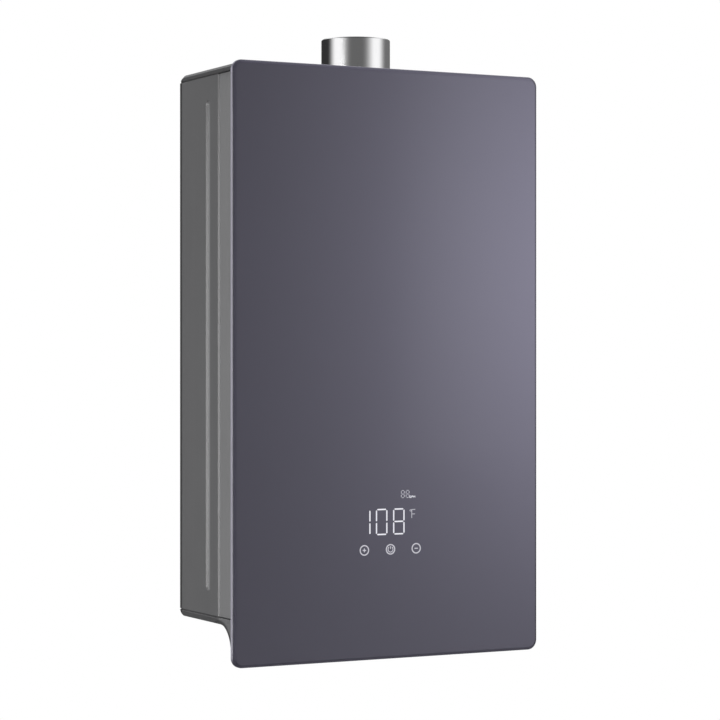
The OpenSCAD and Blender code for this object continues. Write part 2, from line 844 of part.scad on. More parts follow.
module front_frame() {
    return_x = tongue_in - slip;
    color("#7c7d80") {
        difference() {
            union() {
                block([-frame_x, y_plate, side_bot], [frame_x, y_plate_in, side_top]);
                for (m = [0, 1]) mirror([m, 0, 0])
                    block([frame_x - sheet, y_plate, side_bot], [frame_x, y_flange, side_top]);
                for (m = [0, 1]) mirror([0, 0, m])
                    block([-return_x, y_plate, side_top - sheet], [return_x, y_plate + return_d, side_top]);
            }
            block([-display_w / 2, y_plate - over, disp_z - display_h / 2],
                  [display_w / 2, y_plate_in + over, disp_z + display_h / 2]);
        }
        at_standoffs() front_rod([0, 0, 0], standoff_d, standoff_h);
    }
}

module frame_seal() {
    seal_end = side_top - sheet - slip;
    color("#2b2c2e") for (m = [0, 1]) mirror([m, 0, 0])
        block([tongue_x - seal_w, y_plate_in, -seal_end], [tongue_x, y_tongue, seal_end]);
}

module glass_panel() {
    color("#66656f") translate([0, y_glass, glass_mid]) rotate([90, 0, 0])
        soft_slab(glass_w, glass_h, glass_t, glass_corner, glass_edge_w, glass_edge_r);
}

module glass_bond() {
    bond_x = half_w - bond_inset;
    bond_z = side_top - bond_inset;
    color("#1e1f21") towards_front(y_plate, bond_t) difference() {
        square([2 * bond_x, 2 * bond_z], center = true);
        square([2 * (bond_x - bond_w), 2 * (bond_z - bond_w)], center = true);
    }
}

// End caps and decks

// Cap section on z = 0 with its rear upper edge rounded
module cap_section(d, h, r) {
    difference() {
        translate([-d, 0]) square([d, h]);
        translate([-r, h - r]) difference() {
            square(r + over);
            circle(r = r);
        }
    }
}

// Lip inside the casing: two sides and the rear
module cap_lip_plan() {
    difference() {
        translate([0, y_rear - slip])
            rear_rounded(2 * lip_x, cap_lip_d, max(bend_r - sheet - slip, slip));
        translate([0, y_rear - slip - cap_lip_t])
            rear_rounded(2 * (lip_x - cap_lip_t), body_d, slip);
    }
}

module at_cap_screws() {
    for (x = [-1, 1], y = [-cap_screw_rear, cap_screw_y])
        translate([x * cap_screw_x, y, 0]) children();
}

// Rim, lip and bosses of both caps, drawn for the top
module cap_body(boss_bot) {
    rim_z = z_top - cap_h;
    lip_grip = cap_wall / 3;
    difference() {
        intersection() {
            translate([0, 0, rim_z]) along_x(body_w) cap_section(cap_d, cap_h, cap_round);
            translate([0, 0, rim_z]) linear_extrude(cap_h) rear_rounded(body_w, cap_d, bend_r);
        }
        translate([0, -cap_wall, rim_z - over]) along_x(body_w - 2 * cap_wall)
            cap_section(cap_d - 2 * cap_wall, cap_h - cap_wall + over, cap_round - cap_wall);
        for (m = [0, 1]) mirror([m, 0, 0]) translate([half_w, 0, rim_z])
            towards_front(over, cap_d + 2 * over) mirror([0, 1]) corner_cut(seam_gap);
    }
    translate([0, 0, side_top - cap_lip]) linear_extrude(cap_lip + seam_gap + lip_grip) cap_lip_plan();
    at_cap_screws() translate([0, 0, boss_bot])
        cylinder(d = cap_boss_d, h = z_top - cap_wall / 2 - boss_bot);
}

// Wells and holes for the cap screws, drawn for the top
module cap_screw_cuts() {
    at_cap_screws() {
        translate([0, 0, z_top - cap_well]) cylinder(d = cap_screw_head_d + 2 * slip, h = cap_well + over);
        translate([0, 0, deck_z - over]) cylinder(d = cap_screw_d + 2 * slip, h = z_top - deck_z);
    }
}

// All that lies past a bevel of width c across a corner
module corner_cut(c) {
    polygon([[-c - over, over], [over, -c - over], [over, over]]);
}

// Bevels of a cap's side edges, drawn for the top
module cap_edge_cuts(len, c) {
    for (m = [0, 1]) mirror([m, 0, 0]) {
        translate([half_w, 0, z_top]) towards_front(-cap_round, len) corner_cut(c);
        translate([0, -cap_round, z_top - cap_round]) rotate([90, 0, 90]) rotate_extrude(angle = 90)
            translate([cap_round, half_w]) corner_cut(c);
    }
}

module top_cap() {
    color("#58595c") difference() {
        cap_body(deck_z);
        cap_edge_cuts(cap_d - cap_round + over, cap_edge);
        cap_screw_cuts();
        translate([0, stack_y, deck_z]) cylinder(d = flue_d + 2 * slip, h = z_top - deck_z + over);
        at_flue_screws() translate([0, 0, deck_z])
            cylinder(d = flue_screw_d + slip, h = z_top - deck_z + over);
    }
}

// Skirt section: the curve from the cap's underside down to the glass
module skirt_section() {
    skirt_bot = z_bot - skirt_r;
    difference() {
        translate([y_cap, skirt_bot]) square([y_skirt - y_cap, skirt_r + cap_h]);
        translate([y_skirt, skirt_bot]) circle(r = skirt_r);
    }
    polygon([[y_cap, skirt_bot], [y_cap + skirt_edge, skirt_bot],
             [y_cap + skirt_end, skirt_bot - skirt_tip], [y_cap, skirt_bot - skirt_tip]]);
}

// Hollow of the skirt, one wall inside
module skirt_hollow() {
    skirt_bot = z_bot - skirt_r;
    difference() {
        translate([y_cap + cap_wall, skirt_bot]) square([y_skirt - y_cap - cap_wall, skirt_r + cap_h + over]);
        translate([y_skirt, skirt_bot]) circle(r = skirt_r + cap_wall);
    }
}

// Bevels of the skirt's side edges
module skirt_edge_cuts() {
    skirt_bot = z_bot - skirt_r;
    for (m = [0, 1]) mirror([m, 0, 0]) {
        translate([0, y_skirt, skirt_bot]) rotate([90, 0, 90]) rotate(90) rotate_extrude(angle = 90)
            translate([skirt_r, half_w]) mirror([1, 0]) corner_cut(low_edge);
        translate([half_w, y_cap + skirt_edge, skirt_bot - skirt_tip - over])
            linear_extrude(skirt_tip + over) corner_cut(low_edge);
    }
}

// Rows of air slots on either side of the gas connection
module vent_slots(z, h) {
    for (x = [-1, 1], i = [0 : vent_n - 1])
        translate([x * fit_x / 2 + (i - (vent_n - 1) / 2) * vent_pitch - vent_w / 2,
                   y_skirt + vent_pitch, z])
            cube([vent_w, vent_len, h]);
}

module bottom_cap() {
    color("#58595c") difference() {
        union() {
            mirror([0, 0, 1]) cap_body(deck_z);
            along_x(body_w) skirt_section();
        }
        along_x(body_w - 2 * cap_wall) skirt_hollow();
        mirror([0, 0, 1]) cap_edge_cuts(-cap_round - y_skirt, low_edge);
        skirt_edge_cuts();
        mirror([0, 0, 1]) cap_screw_cuts();
        for (x = [-fit_x, 0, fit_x]) translate([x, stack_y, z_bot - over])
            cylinder(d = shoulder_d + 2 * slip, h = cap_wall + 2 * over);
        translate([drain_x, stack_y, z_bot - over])
            cylinder(d = drain_knob_d + 2 * slip, h = cap_wall + 2 * over);
        translate([gland_x, -gland_setback, z_bot - over])
            cylinder(d = gland_d + 2 * slip, h = cap_wall + 2 * over);
        vent_slots(z_bot - over, cap_wall + 2 * over);
    }
}

// Deck with an upturned rear flange, drawn for the base
module deck_body() {
    block([-deck_x, y_deck, -deck_z], [deck_x, y_rear, -deck_in]);
    block([-deck_x, y_rear - deck_t, -deck_z], [deck_x, y_rear, deck_flange - deck_z]);
}

module deck_screw_cuts() {
    at_cap_screws() translate([0, 0, -deck_z - over]) cylinder(d = cap_screw_d + slip, h = deck_t + 2 * over);
}

module top_deck() {
    color("#8d9094") mirror([0, 0, 1]) difference() {
        deck_body();
        deck_screw_cuts();
        translate([0, stack_y, -deck_z - over]) cylinder(d = flue_d + 2 * slip, h = deck_t + 2 * over);
    }
}

module base_deck() {
    color("#8d9094") difference() {
        deck_body();
        deck_screw_cuts();
        for (x = [-fit_x, 0, fit_x]) translate([x, stack_y, -deck_z - over])
            cylinder(d = shoulder_d + slip, h = deck_t + 2 * over);
        translate([drain_x, stack_y, -deck_z - over])
            cylinder(d = drain_knob_d + 2 * slip, h = deck_t + 2 * over);
        translate([gland_x, -gland_setback, -deck_z - over])
            cylinder(d = gland_d + slip, h = deck_t + 2 * over);
        vent_slots(-deck_z - over, deck_t + 2 * over);
    }
}

module cap_screws() {
    head_z = z_top - cap_well;
    color("#b9bbbd") for (m = [0, 1]) mirror([0, 0, m]) at_cap_screws() {
        translate([0, 0, head_z]) cylinder(d = cap_screw_head_d, h = cap_screw_head_h);
        translate([0, 0, deck_z - cap_screw_end])
            cylinder(d = cap_screw_d, h = head_z - deck_z + cap_screw_end);
    }
}

// Flue and fan

module at_flue_screws() {
    for (i = [0 : 3])
        translate([0, stack_y, 0]) rotate(45 + 90 * i) translate([flue_screw_pcd / 2, 0, 0]) children();
}

module flue_collar() {
    rim_z = collar_top - rim_r;
    color("#c8c9cb") difference() {
        translate([0, stack_y, 0]) rotate_extrude() {
            translate([flue_in, collar_bot]) square([flue_wall, rim_z - collar_bot]);
            translate([flue_in, flange_z]) square([flue_flange_d / 2 - flue_in, flue_flange_t]);
            translate([flue_r - rim_r, rim_z]) intersection() {
                square(rim_r);
                difference() {
                    circle(r = rim_r);
                    circle(r = rim_r - flue_wall);
                }
            }
        }
        at_flue_screws() translate([0, 0, flange_z - over])
            cylinder(d = flue_screw_d + slip, h = flue_flange_t + 2 * over);
        translate([-flue_d, flap_y, flap_z]) rotate([0, 90, 0])
            cylinder(d = flap_pin_d + 2 * pin_play, h = 2 * flue_d);
    }
}

module collar_gasket() {
    color("#3a3b3d") difference() {
        translate([0, stack_y, z_top]) cylinder(d = flue_flange_d - 2 * slip, h = gasket_t);
        translate([0, stack_y, z_top - over]) cylinder(d = flue_d + 2 * slip, h = gasket_t + 2 * over);
        at_flue_screws() translate([0, 0, z_top - over])
            cylinder(d = flue_screw_d + slip, h = gasket_t + 2 * over);
    }
}

module collar_screws() {
    head_z = flange_z + flue_flange_t;
    color("#b9bbbd") at_flue_screws() {
        translate([0, 0, head_z]) cylinder(d = flue_screw_head_d, h = flue_screw_head_h);
        translate([0, 0, z_top - cap_wall]) cylinder(d = flue_screw_d, h = head_z - z_top + cap_wall);
    }
}

module flap_pin() {
    color("#b9bbbd") translate([-flap_pin_half, flap_y, flap_z]) rotate([0, 90, 0])
        cylinder(d = flap_pin_d, h = 2 * flap_pin_half);
}

module backdraft_flap() {
    color("#c3c6c9") difference() {
        union() {
            translate([0, stack_y, flap_z - flap_t / 2]) cylinder(r = flap_r, h = flap_t);
            translate([-flap_hub_len / 2, flap_y, flap_z]) rotate([0, 90, 0])
                cylinder(d = flap_hub_d, h = flap_hub_len);
        }
        translate([-flue_d, flap_y, flap_z]) rotate([0, 90, 0])
            cylinder(d = flap_pin_d + 2 * pin_play, h = 2 * flue_d);
    }
}

// Spiral outline of the volute, drawn in by inset, with its throat up to top
module scroll_outline(inset, top) {
    steps = 36;
    half_t = throat_w / 2 - inset;
    a0 = acos((half_t - fan_offset) / (scroll_r0 - inset));
    turn = a0 + 180;
    polygon(concat(
        [for (i = [0 : steps])
            let (r = scroll_r0 + (scroll_r1 - scroll_r0) * i / steps - inset, a = a0 - turn * i / steps)
            [fan_offset + r * cos(a), fan_z + r * sin(a)]],
        [[-half_t, top], [half_t, top]]));
}

module fan_volute() {
    color("#9a9da0") difference() {
        union() {
            towards_front(y_scroll, scroll_d) scroll_outline(0, throat_z);
            translate([0, stack_y, throat_z - scroll_wall])
                cylinder(r = spigot_r, h = spigot_len + scroll_wall);
        }
        towards_front(y_scroll - scroll_wall, scroll_d) scroll_outline(scroll_wall, throat_z - scroll_wall);
        front_rod([fan_offset, y_scroll + over, fan_z], eye_d, scroll_wall + 2 * over);
        translate([0, stack_y, throat_z - scroll_wall - over])
            cylinder(r = spigot_r - scroll_wall, h = spigot_len + scroll_wall + 2 * over);
    }
}

module fan_plate() {
    color("#9a9da0") difference() {
        towards_front(y_scroll_front, fan_plate_t) scroll_outline(0, throat_z);
        front_rod([fan_offset, y_scroll_front + over, fan_z], plate_hole_d, fan_plate_t + 2 * over);
    }
}

module fan_motor() {
    can_len = motor_len - motor_nose;
    color("#4a4c50") difference() {
        union() {
            front_rod([fan_offset, y_fan_plate, fan_z], motor_d, can_len);
            front_rod([fan_offset, y_fan_plate - can_len, fan_z], motor_nose_d, motor_nose);
        }
        front_rod([fan_offset, y_fan_plate + over, fan_z], shaft_d + 2 * shaft_play, can_len + over);
    }
}

module motor_shaft() {
    shaft_tip = y_wheel + wheel_hub_len + shaft_d / 2;
    shaft_end = y_fan_plate - motor_len + motor_nose + slip;
    color("#b9bbbd") front_rod([fan_offset, shaft_tip, fan_z], shaft_d, shaft_tip - shaft_end);
}

// One forward-curved blade from the inner to the outer edge
module blade_outline() {
    steps = 5;
    inner = wheel_r - blade_len;
    run = blade_len - blade_inset;
    half_a = blade_t / wheel_d * 180 / PI;
    edge = [for (i = [0 : steps]) let (t = i / steps) [inner + run * t, -blade_sweep * t * t]];
    polygon(concat(
        [for (p = edge) p[0] * [cos(p[1] - half_a), sin(p[1] - half_a)]],
        [for (i = [steps : -1 : 0]) edge[i][0] * [cos(edge[i][1] + half_a), sin(edge[i][1] + half_a)]]));
}

module fan_wheel() {
    color("#8f9296") translate([fan_offset, 0, fan_z]) difference() {
        union() {
            towards_front(y_wheel + wheel_t, wheel_t) circle(d = wheel_d);
            towards_front(y_wheel + wheel_hub_len, wheel_hub_len) circle(d = wheel_hub_d);
            towards_front(y_wheel + wheel_w, wheel_t) difference() {
                circle(d = wheel_d);
                circle(d = wheel_d - 2 * blade_len - 2 * blade_inset);
            }
            for (i = [0 : blade_n - 1])
                towards_front(y_wheel + wheel_w - wheel_t, wheel_w - 2 * wheel_t)
                    rotate(i * 360 / blade_n) blade_outline();
        }
        front_rod([0, y_wheel + wheel_hub_len + over, 0], shaft_d + shaft_play, wheel_hub_len + 2 * over);
    }
}

module exhaust_hood() {
    half = shell_w / 2;
    riser_x0 = fan_offset - riser_w / 2;
    riser_x1 = fan_offset + riser_w / 2;
    riser_top = fan_z + riser_rise;
    w = hood_wall;
    color("#a3a6a9") difference() {
        union() {
            block([-half, y_shell, hood_bot], [half, y_riser, hood_top]);
            block([riser_x0, y_scroll, hood_top - w], [riser_x1, y_riser, riser_top]);
        }
        block([w - half, y_shell + w, hood_bot + w], [half - w, y_riser - w, hood_top - w]);
        block([w - half, y_shell + w, hood_bot - over], [half - w, y_shell_rear - w, hood_bot + 2 * w]);
        block([riser_x0 + w, y_scroll - over, hood_top], [riser_x1 - w, y_riser - w, riser_top - w]);
        block([riser_x0 + w, y_scroll, hood_top - 2 * w], [riser_x1 - w, y_riser - w, hood_top + w]);
    }
}

module pressure_switch() {
    switch_y = box_y - switch_d / 2;
    color("#d7d4c8") translate([-in_x, switch_y, fan_z]) rotate([0, 90, 0]) {
        cylinder(d = switch_d, h = switch_t / 2);
        cylinder(d = switch_d - barb_d, h = switch_t);
        for (s = [-1, 1]) translate([0, s * switch_d / 4, switch_t - over])
            cylinder(d = barb_d, h = barb_len);
    }
}

// Heat exchanger

module exchanger_shell() {
    half = shell_w / 2;
    color("#b9744a") difference() {
        union() {
            block([-half, y_shell, shell_bot], [half, y_shell_rear, hood_bot]);
            for (z = [shell_bot, hood_bot - shell_wall])
                block([-half - shell_lip, y_shell - shell_lip, z],
                      [half + shell_lip, y_shell_rear + shell_lip, z + shell_wall]);
        }
        block([shell_wall - half, y_shell + shell_wall, shell_bot - over],
              [half - shell_wall, y_shell_rear - shell_wall, hood_bot + over]);
        for (y = tube_ys) translate([-half - over, y, tube_z]) rotate([0, 90, 0])
            cylinder(d = tube_d + slip, h = shell_w + 2 * over);
        at_electrodes() front_rod([0, shell_wall + over, 0], electrode_d + slip, shell_wall + 2 * over);
    }
}

// One fin: a plate over the tubes with a lobe below each
module fin_outline() {
    fin_y0 = y_shell + shell_wall + fin_gap;
    fin_y1 = y_shell_rear - shell_wall - fin_gap;
    difference() {
        union() {
            translate([fin_y0, tube_z]) square([fin_y1 - fin_y0, fin_top]);
            for (y = tube_ys) translate([y, tube_z]) circle(r = fin_lobe - slip);
        }
        for (y = tube_ys) translate([y, tube_z]) circle(d = tube_d + slip);
    }
}

module exchanger_fins() {
    pitch = (shell_w - 2 * shell_wall) / (fin_n + 1);
    color("#c07d52") for (i = [0 : fin_n - 1])
        translate([(i - (fin_n - 1) / 2) * pitch, 0, 0]) along_x(fin_t) fin_outline();
}

module exchanger_tubes() {
    color("#b46a40") {
        for (y = tube_ys) pipe_straight([-tube_end, y, tube_z], [tube_end, y, tube_z], tube_d, tube_wall);
        for (i = [0 : tube_n - 2]) {
            s = i % 2 == 0 ? 1 : -1;
            translate([s * tube_end, (tube_ys[i] + tube_ys[i + 1]) / 2, tube_z]) rotate(s * 90 - 180)
                rotate_extrude(angle = 180) translate([tube_pitch / 2, 0]) pipe_section(tube_d, tube_wall);
        }
    }
}

module overheat_stat() {
    stat_z = tube_z - tube_drop;
    color("#2f3033") {
        front_rod([0, y_shell, stat_z], stat_d, stat_h);
        front_rod([0, y_shell, stat_z], stat_d + stat_h, stat_flange_t);
    }
}

// Burner

module at_electrodes() {
    for (s = [-1, 1]) translate([s * electrode_dx / 2, y_shell, shell_bot + electrode_z]) children();
}

module burner_box() {
    half = shell_w / 2;
    w = burner_wall;
    color("#a3a6a9") difference() {
        union() {
            block([-half, y_shell, burner_bot], [half, y_shell_rear, shell_bot]);
            block([-half - shell_lip, y_shell - shell_lip, shell_bot - w],
                  [half + shell_lip, y_shell_rear + shell_lip, shell_bot]);
        }
        block([w - half, y_shell + w, burner_floor], [half - w, y_shell_rear - w, shell_bot + over]);
        for (x = tile_xs) front_rod([x, y_shell + w + over, gas_z], venturi_d + 2 * slip, w + 2 * over);
        for (i = [0 : tile_n - 2])
            translate([tile_xs[i] + tile_pitch / 2 - slot_w / 2, y_shell + tile_shoulder, burner_bot - over])
                cube([slot_w, shell_d - 2 * tile_shoulder, w + 2 * over]);
    }
}

// Burner tile section, drawn in by inset: straight flanks and sloping shoulders
module tile_outline(inset) {
    y0 = y_shell + burner_wall + slip + inset;
    y1 = y_shell_rear - burner_wall - slip - inset;
    z0 = burner_floor + inset;
    z1 = burner_floor + tile_h - inset;
    polygon([[y0, z0], [y1, z0], [y1, z1 - tile_shoulder], [y1 - tile_shoulder, z1],
             [y0 + tile_shoulder, z1], [y0, z1 - tile_shoulder]]);
}

module burner_tiles() {
    slot_run = shell_d - 2 * burner_wall - 4 * tile_shoulder;
    slot_pitch = slot_run / (slot_n - 1);
    color("#8b7f74") for (x = tile_xs) difference() {
        translate([x, 0, 0]) along_x(tile_w) tile_outline(0);
        translate([x, 0, 0]) along_x(tile_w - 2 * tile_wall) tile_outline(tile_wall);
        front_rod([x, stack_y, gas_z], venturi_d, shell_d);
        for (i = [0 : slot_n - 1])
            translate([x - tile_w, stack_y - slot_run / 2 + i * slot_pitch - slot_w / 2,
                       burner_floor + tile_h - slot_h])
                cube([2 * tile_w, slot_w, slot_h + over]);
    }
}

module injector_rail() {
    color("#a9abad") difference() {
        union() {
            block([-rail_half, y_rail, gas_z - rail_h / 2], [rail_half, y_rail + rail_d, gas_z + rail_h / 2]);
            for (m = [0, 1]) mirror([m, 0, 0])
                block([rail_half - rail_tab, y_rail, gas_z - rail_h / 2],
                      [rail_half, y_shell, gas_z + rail_h / 2]);
        }
        translate([tile_xs[0], y_feed, gas_z]) rotate([0, 90, 0])
            cylinder(d = rail_bore, h = tile_xs[tile_n - 1] - tile_xs[0]);
        translate([0, y_feed, gas_z - rail_h]) cylinder(d = rail_bore, h = rail_h);
    }
}

module injector_nozzles() {
    color("#c9a24b") for (x = tile_xs) difference() {
        front_rod([x, y_rail + rail_d + nozzle_len, gas_z], nozzle_d, nozzle_len);
        front_rod([x, y_rail + rail_d + nozzle_len + over, gas_z], nozzle_bore, nozzle_len + 2 * over);
    }
}

module electrodes() {
    color("#e6e1d6") at_electrodes() {
        front_rod([0, electrode_in, 0], electrode_d, electrode_in + electrode_out);
        front_rod([0, 0, 0], electrode_d + 2 * electrode_flange_t, electrode_flange_t);
        front_rod([0, electrode_in + electrode_wire, 0], electrode_wire_d, electrode_wire);
    }
}

module stack_bracket() {
    bracket_z = burner_bot + (burner_h - bracket_h) / 2;
    color("#8d9094") difference() {
        block([-bracket_w / 2, y_shell_rear, bracket_z], [bracket_w / 2, y_rear, bracket_z + bracket_h]);
        block([-bracket_w, y_shell_rear + bracket_t, bracket_z + bracket_t],
              [bracket_w, y_rear - bracket_t, bracket_z + bracket_h - bracket_t]);
    }
}

// Connections

// Threaded connection through the base deck, bored right through
module connection_body(neck_top) {
    translate([0, 0, thread_top - thread_len]) cylinder(d = thread_d, h = thread_len);
    translate([0, 0, thread_top]) cylinder(d = shoulder_d, h = base_top - thread_top);
    translate([0, 0, base_top]) cylinder(d = hex_d, h = hex_h, $fn = 6);
    translate([0, 0, fit_top]) cylinder(d = neck_d, h = neck_top - fit_top);
}

module connection_bore(neck_top) {
    translate([0, 0, thread_top - thread_len - over])
        cylinder(d = fit_bore, h = neck_top - thread_top + thread_len + 2 * over);
}

module pipe_socket(top) {
    translate([0, 0, top - socket_len]) cylinder(d = pipe_d + 2 * socket_play, h = socket_len + over);
}

module gas_inlet() {
    color("#c9a24b") translate([0, stack_y, 0]) difference() {
        connection_body(valve_z);
        connection_bore(valve_z);
    }
}

module gas_valve() {
    w = valve_w - 2 * valve_edge;
    d = valve_d - 2 * valve_edge;
    side_x = valve_w / 2 - valve_chamber;
    color("#b3b5b7") difference() {
        translate([0, stack_y, valve_z]) linear_extrude(valve_h) {
            square([valve_w, d], center = true);
            square([w, valve_d], center = true);
            for (x = [-1, 1], y = [-1, 1]) translate([x * w / 2, y * d / 2]) circle(r = valve_edge);
        }
        for (s = [-1, 1]) translate([s * coil_x, stack_y, valve_top - valve_chamber])
            cylinder(r = chamber_r, h = valve_chamber + over);
        translate([side_x, stack_y, valve_z + side_coil_z]) rotate([0, 90, 0])
            cylinder(r = chamber_r, h = valve_chamber + over);
        translate([0, stack_y, valve_z - over]) cylinder(d = fit_bore, h = feed_z + over);
        front_rod([0, stack_y, valve_z + feed_z], feed_d - 2 * tube_wall, valve_d);
    }
}

// Coil on z = 0 with a blind bore for its plunger
module coil_body() {
    difference() {
        union() {
            translate([-coil_plate / 2, -coil_plate / 2, 0]) cube([coil_plate, coil_plate, coil_plate_t]);
            cylinder(d = coil_d, h = coil_len);
            translate([-coil_plate / 2, -coil_plate / 2, coil_len - coil_plate_t])
                cube([coil_plate, coil_plate, coil_plate_t]);
        }
        translate([0, 0, -over])
            cylinder(d = plunger_d + 2 * plunger_play, h = coil_len - coil_plate_t + over);
    }
}

// Plunger of such a coil: a stem in the bore and a disc just off its seat
module plunger_body() {
    disc_z = seat_gap - valve_chamber;
    stem_top = coil_len - coil_plate_t - plunger_travel - seat_gap;
    translate([0, 0, disc_z]) cylinder(d = disc_d, h = disc_t);
    translate([0, 0, disc_z]) cylinder(d = plunger_d, h = stem_top - disc_z);
}

module at_top_coil(side) {
    translate([side * coil_x, stack_y, valve_top]) children();
}

module at_side_coil() {
    translate([valve_w / 2, stack_y, valve_z + side_coil_z]) rotate([0, 90, 0]) children();
}

module shutoff_coil() {
    color("#27282b") at_top_coil(-1) coil_body();
}

module shutoff_plunger() {
    color("#b9bbbd") at_top_coil(-1) plunger_body();
}

module stage_coil() {
    color("#27282b") at_top_coil(1) coil_body();
}

module stage_plunger() {
    color("#b9bbbd") at_top_coil(1) plunger_body();
}

module modulating_coil() {
    color("#27282b") at_side_coil() coil_body();
}

module modulating_plunger() {
    color("#b9bbbd") at_side_coil() plunger_body();
}

module gas_feed() {
    z0 = valve_z + feed_z;
    corners = [[0, y_valve, z0], [0, y_feed, z0], [0, y_feed, gas_z - rail_h / 2]];
    color("#c9a24b") pipe_run(corners, feed_bend, feed_d, tube_wall);
}

module cold_inlet() {
    color("#c9a24b") difference() {
        union() {
            translate([fit_x, stack_y, 0]) connection_body(water_neck_top);
            translate([drain_x, stack_y, drain_bot]) cylinder(d = drain_d, h = drain_top - drain_bot);
            translate([fit_x, stack_y, drain_arm_z]) rotate([0, 90, 0])
                cylinder(d = drain_arm_d, h = drain_dx);
        }
        translate([fit_x, stack_y, 0]) connection_bore(water_neck_top);
        translate([fit_x, stack_y, thread_top - thread_len - over])
            cylinder(d = filter_rim_d + slip, h = filter_rim_t + over);
        translate([drain_x, stack_y, drain_bot - over])
            cylinder(d = drain_stem_d + 2 * drain_play, h = drain_stem_len + drain_well + over);
        translate([fit_x, stack_y, drain_arm_z]) rotate([0, 90, 0])
            cylinder(d = drain_arm_bore, h = drain_dx);
    }
}

module inlet_filter() {
    z0 = thread_top - thread_len;
    color("#d9dadc") translate([fit_x, stack_y, z0]) difference() {
        union() {
            cylinder(d = filter_rim_d, h = filter_rim_t);
            cylinder(d = filter_d, h = filter_len);
        }
        translate([0, 0, -over])
            cylinder(d = filter_d - 2 * filter_wall, h = filter_len - filter_wall + over);
    }
}

module flow_sensor() {
    color("#2f3033") translate([fit_x, stack_y, water_neck_top]) difference() {
        cylinder(d = sensor_d, h = sensor_len);
        difference() {
            translate([0, 0, -over]) cylinder(d = fit_bore, h = sensor_len + 2 * over);
            for (z = [0, sensor_end + chamber_len])
                translate([-fit_bore, -spider_w / 2, z]) cube([2 * fit_bore, spider_w, sensor_end]);
        }
        translate([0, 0, sensor_end]) cylinder(d = chamber_d, h = chamber_len);
        pipe_socket(sensor_len);
    }
}

module turbine_axle() {
    color("#d9dadc") translate([fit_x, stack_y, chamber_z]) cylinder(d = axle_d, h = chamber_len);
}

module flow_turbine() {
    rotor_len = chamber_len - 2 * rotor_end;
    rotor_r = chamber_d / 2 - rotor_gap;
    blade_h = rotor_len / 2;
    color("#e8e6df") translate([fit_x, stack_y, chamber_z + rotor_end]) difference() {
        union() {
            cylinder(d = rotor_hub_d, h = rotor_len);
            intersection() {
                cylinder(r = rotor_r, h = rotor_len);
                for (i = [0 : rotor_n - 1]) rotate(i * 360 / rotor_n)
                    translate([0, -rotor_t / 2, rotor_len / 2]) rotate([rotor_lean, 0, 0])
                        translate([0, 0, -blade_h / 2]) cube([chamber_d, rotor_t, blade_h]);
            }
        }
        translate([0, 0, -over]) cylinder(d = axle_d + 2 * axle_play, h = rotor_len + 2 * over);
    }
}

module cold_pipe() {
    rear = tube_ys[tube_n - 1];
    color("#b46a40") pipe_run([[fit_x, stack_y, sensor_top - socket_len], [fit_x, stack_y, jog_z],
        [fit_x, rear, jog_z], [fit_x, rear, tube_z], [tube_end, rear, tube_z]], pipe_bend, pipe_d, tube_wall);
}

module hot_pipe() {
    front = tube_ys[0];
    color("#b46a40") pipe_run([[-tube_end, front, tube_z], [-fit_x, front, tube_z],
        [-fit_x, front, jog_z], [-fit_x, stack_y, jog_z], [-fit_x, stack_y, water_neck_top - socket_len]],
        pipe_bend, pipe_d, tube_wall);
}

module hot_outlet() {
    color("#c9a24b") translate([-fit_x, stack_y, 0]) difference() {
        connection_body(water_neck_top);
        connection_bore(water_neck_top);
        pipe_socket(water_neck_top);
    }
}

module outlet_thermistor() {
    clip_z = water_neck_top + neck_h;
    clip_d = pipe_d + 2 * slip;
    color("#d7d4c8") translate([-fit_x, stack_y, clip_z]) difference() {
        union() {
            cylinder(d = clip_d + 2 * tube_wall, h = clip_h);
            front_rod([0, 0, clip_h / 2], clip_h / 2, pipe_d);
        }
        translate([0, 0, -over]) cylinder(d = clip_d, h = clip_h + 2 * over);
    }
}

module drain_seal() {
    color("#232426") translate([drain_x, stack_y, drain_seat - drain_seal_t]) difference() {
        cylinder(d = drain_seal_d, h = drain_seal_t);
        translate([0, 0, -over])
            cylinder(d = drain_stem_d + 2 * drain_play, h = drain_seal_t + 2 * over);
    }
}

module drain_plug() {
    stem_top = drain_bot + drain_stem_len;
    color("#3c3d40") translate([drain_x, stack_y, drain_knob_z]) difference() {
        union() {
            cylinder(d = drain_knob_d, h = drain_shoulder - drain_knob_z);
            cylinder(d = drain_stem_d, h = stem_top - drain_knob_z);
        }
        for (i = [0 : drain_grips - 1]) rotate(i * 360 / drain_grips)
            translate([drain_knob_d / 2, 0, -over]) cylinder(d = drain_grip_d, h = drain_knob_h + over);
    }
}

// Electrics

module control_housing() {
    z0 = base_top + ctrl_z;
    post_in = ctrl_wall + standoff_d / 2;
    color("#3c3d40") difference() {
        block([in_x - ctrl_d, box_y - ctrl_w, z0], [in_x, box_y, z0 + ctrl_h]);
        block([in_x - ctrl_d - over, box_y - ctrl_w + ctrl_wall, z0 + ctrl_wall],
              [in_x - ctrl_wall, box_y - ctrl_wall, z0 + ctrl_h - ctrl_wall]);
    }
    color("#3c3d40") for (y = [post_in, ctrl_w - post_in], z = [post_in, ctrl_h - post_in])
        translate([in_x - ctrl_wall, box_y - y, z0 + z])
            rotate([0, -90, 0]) cylinder(d = standoff_d, h = standoff_h);
}

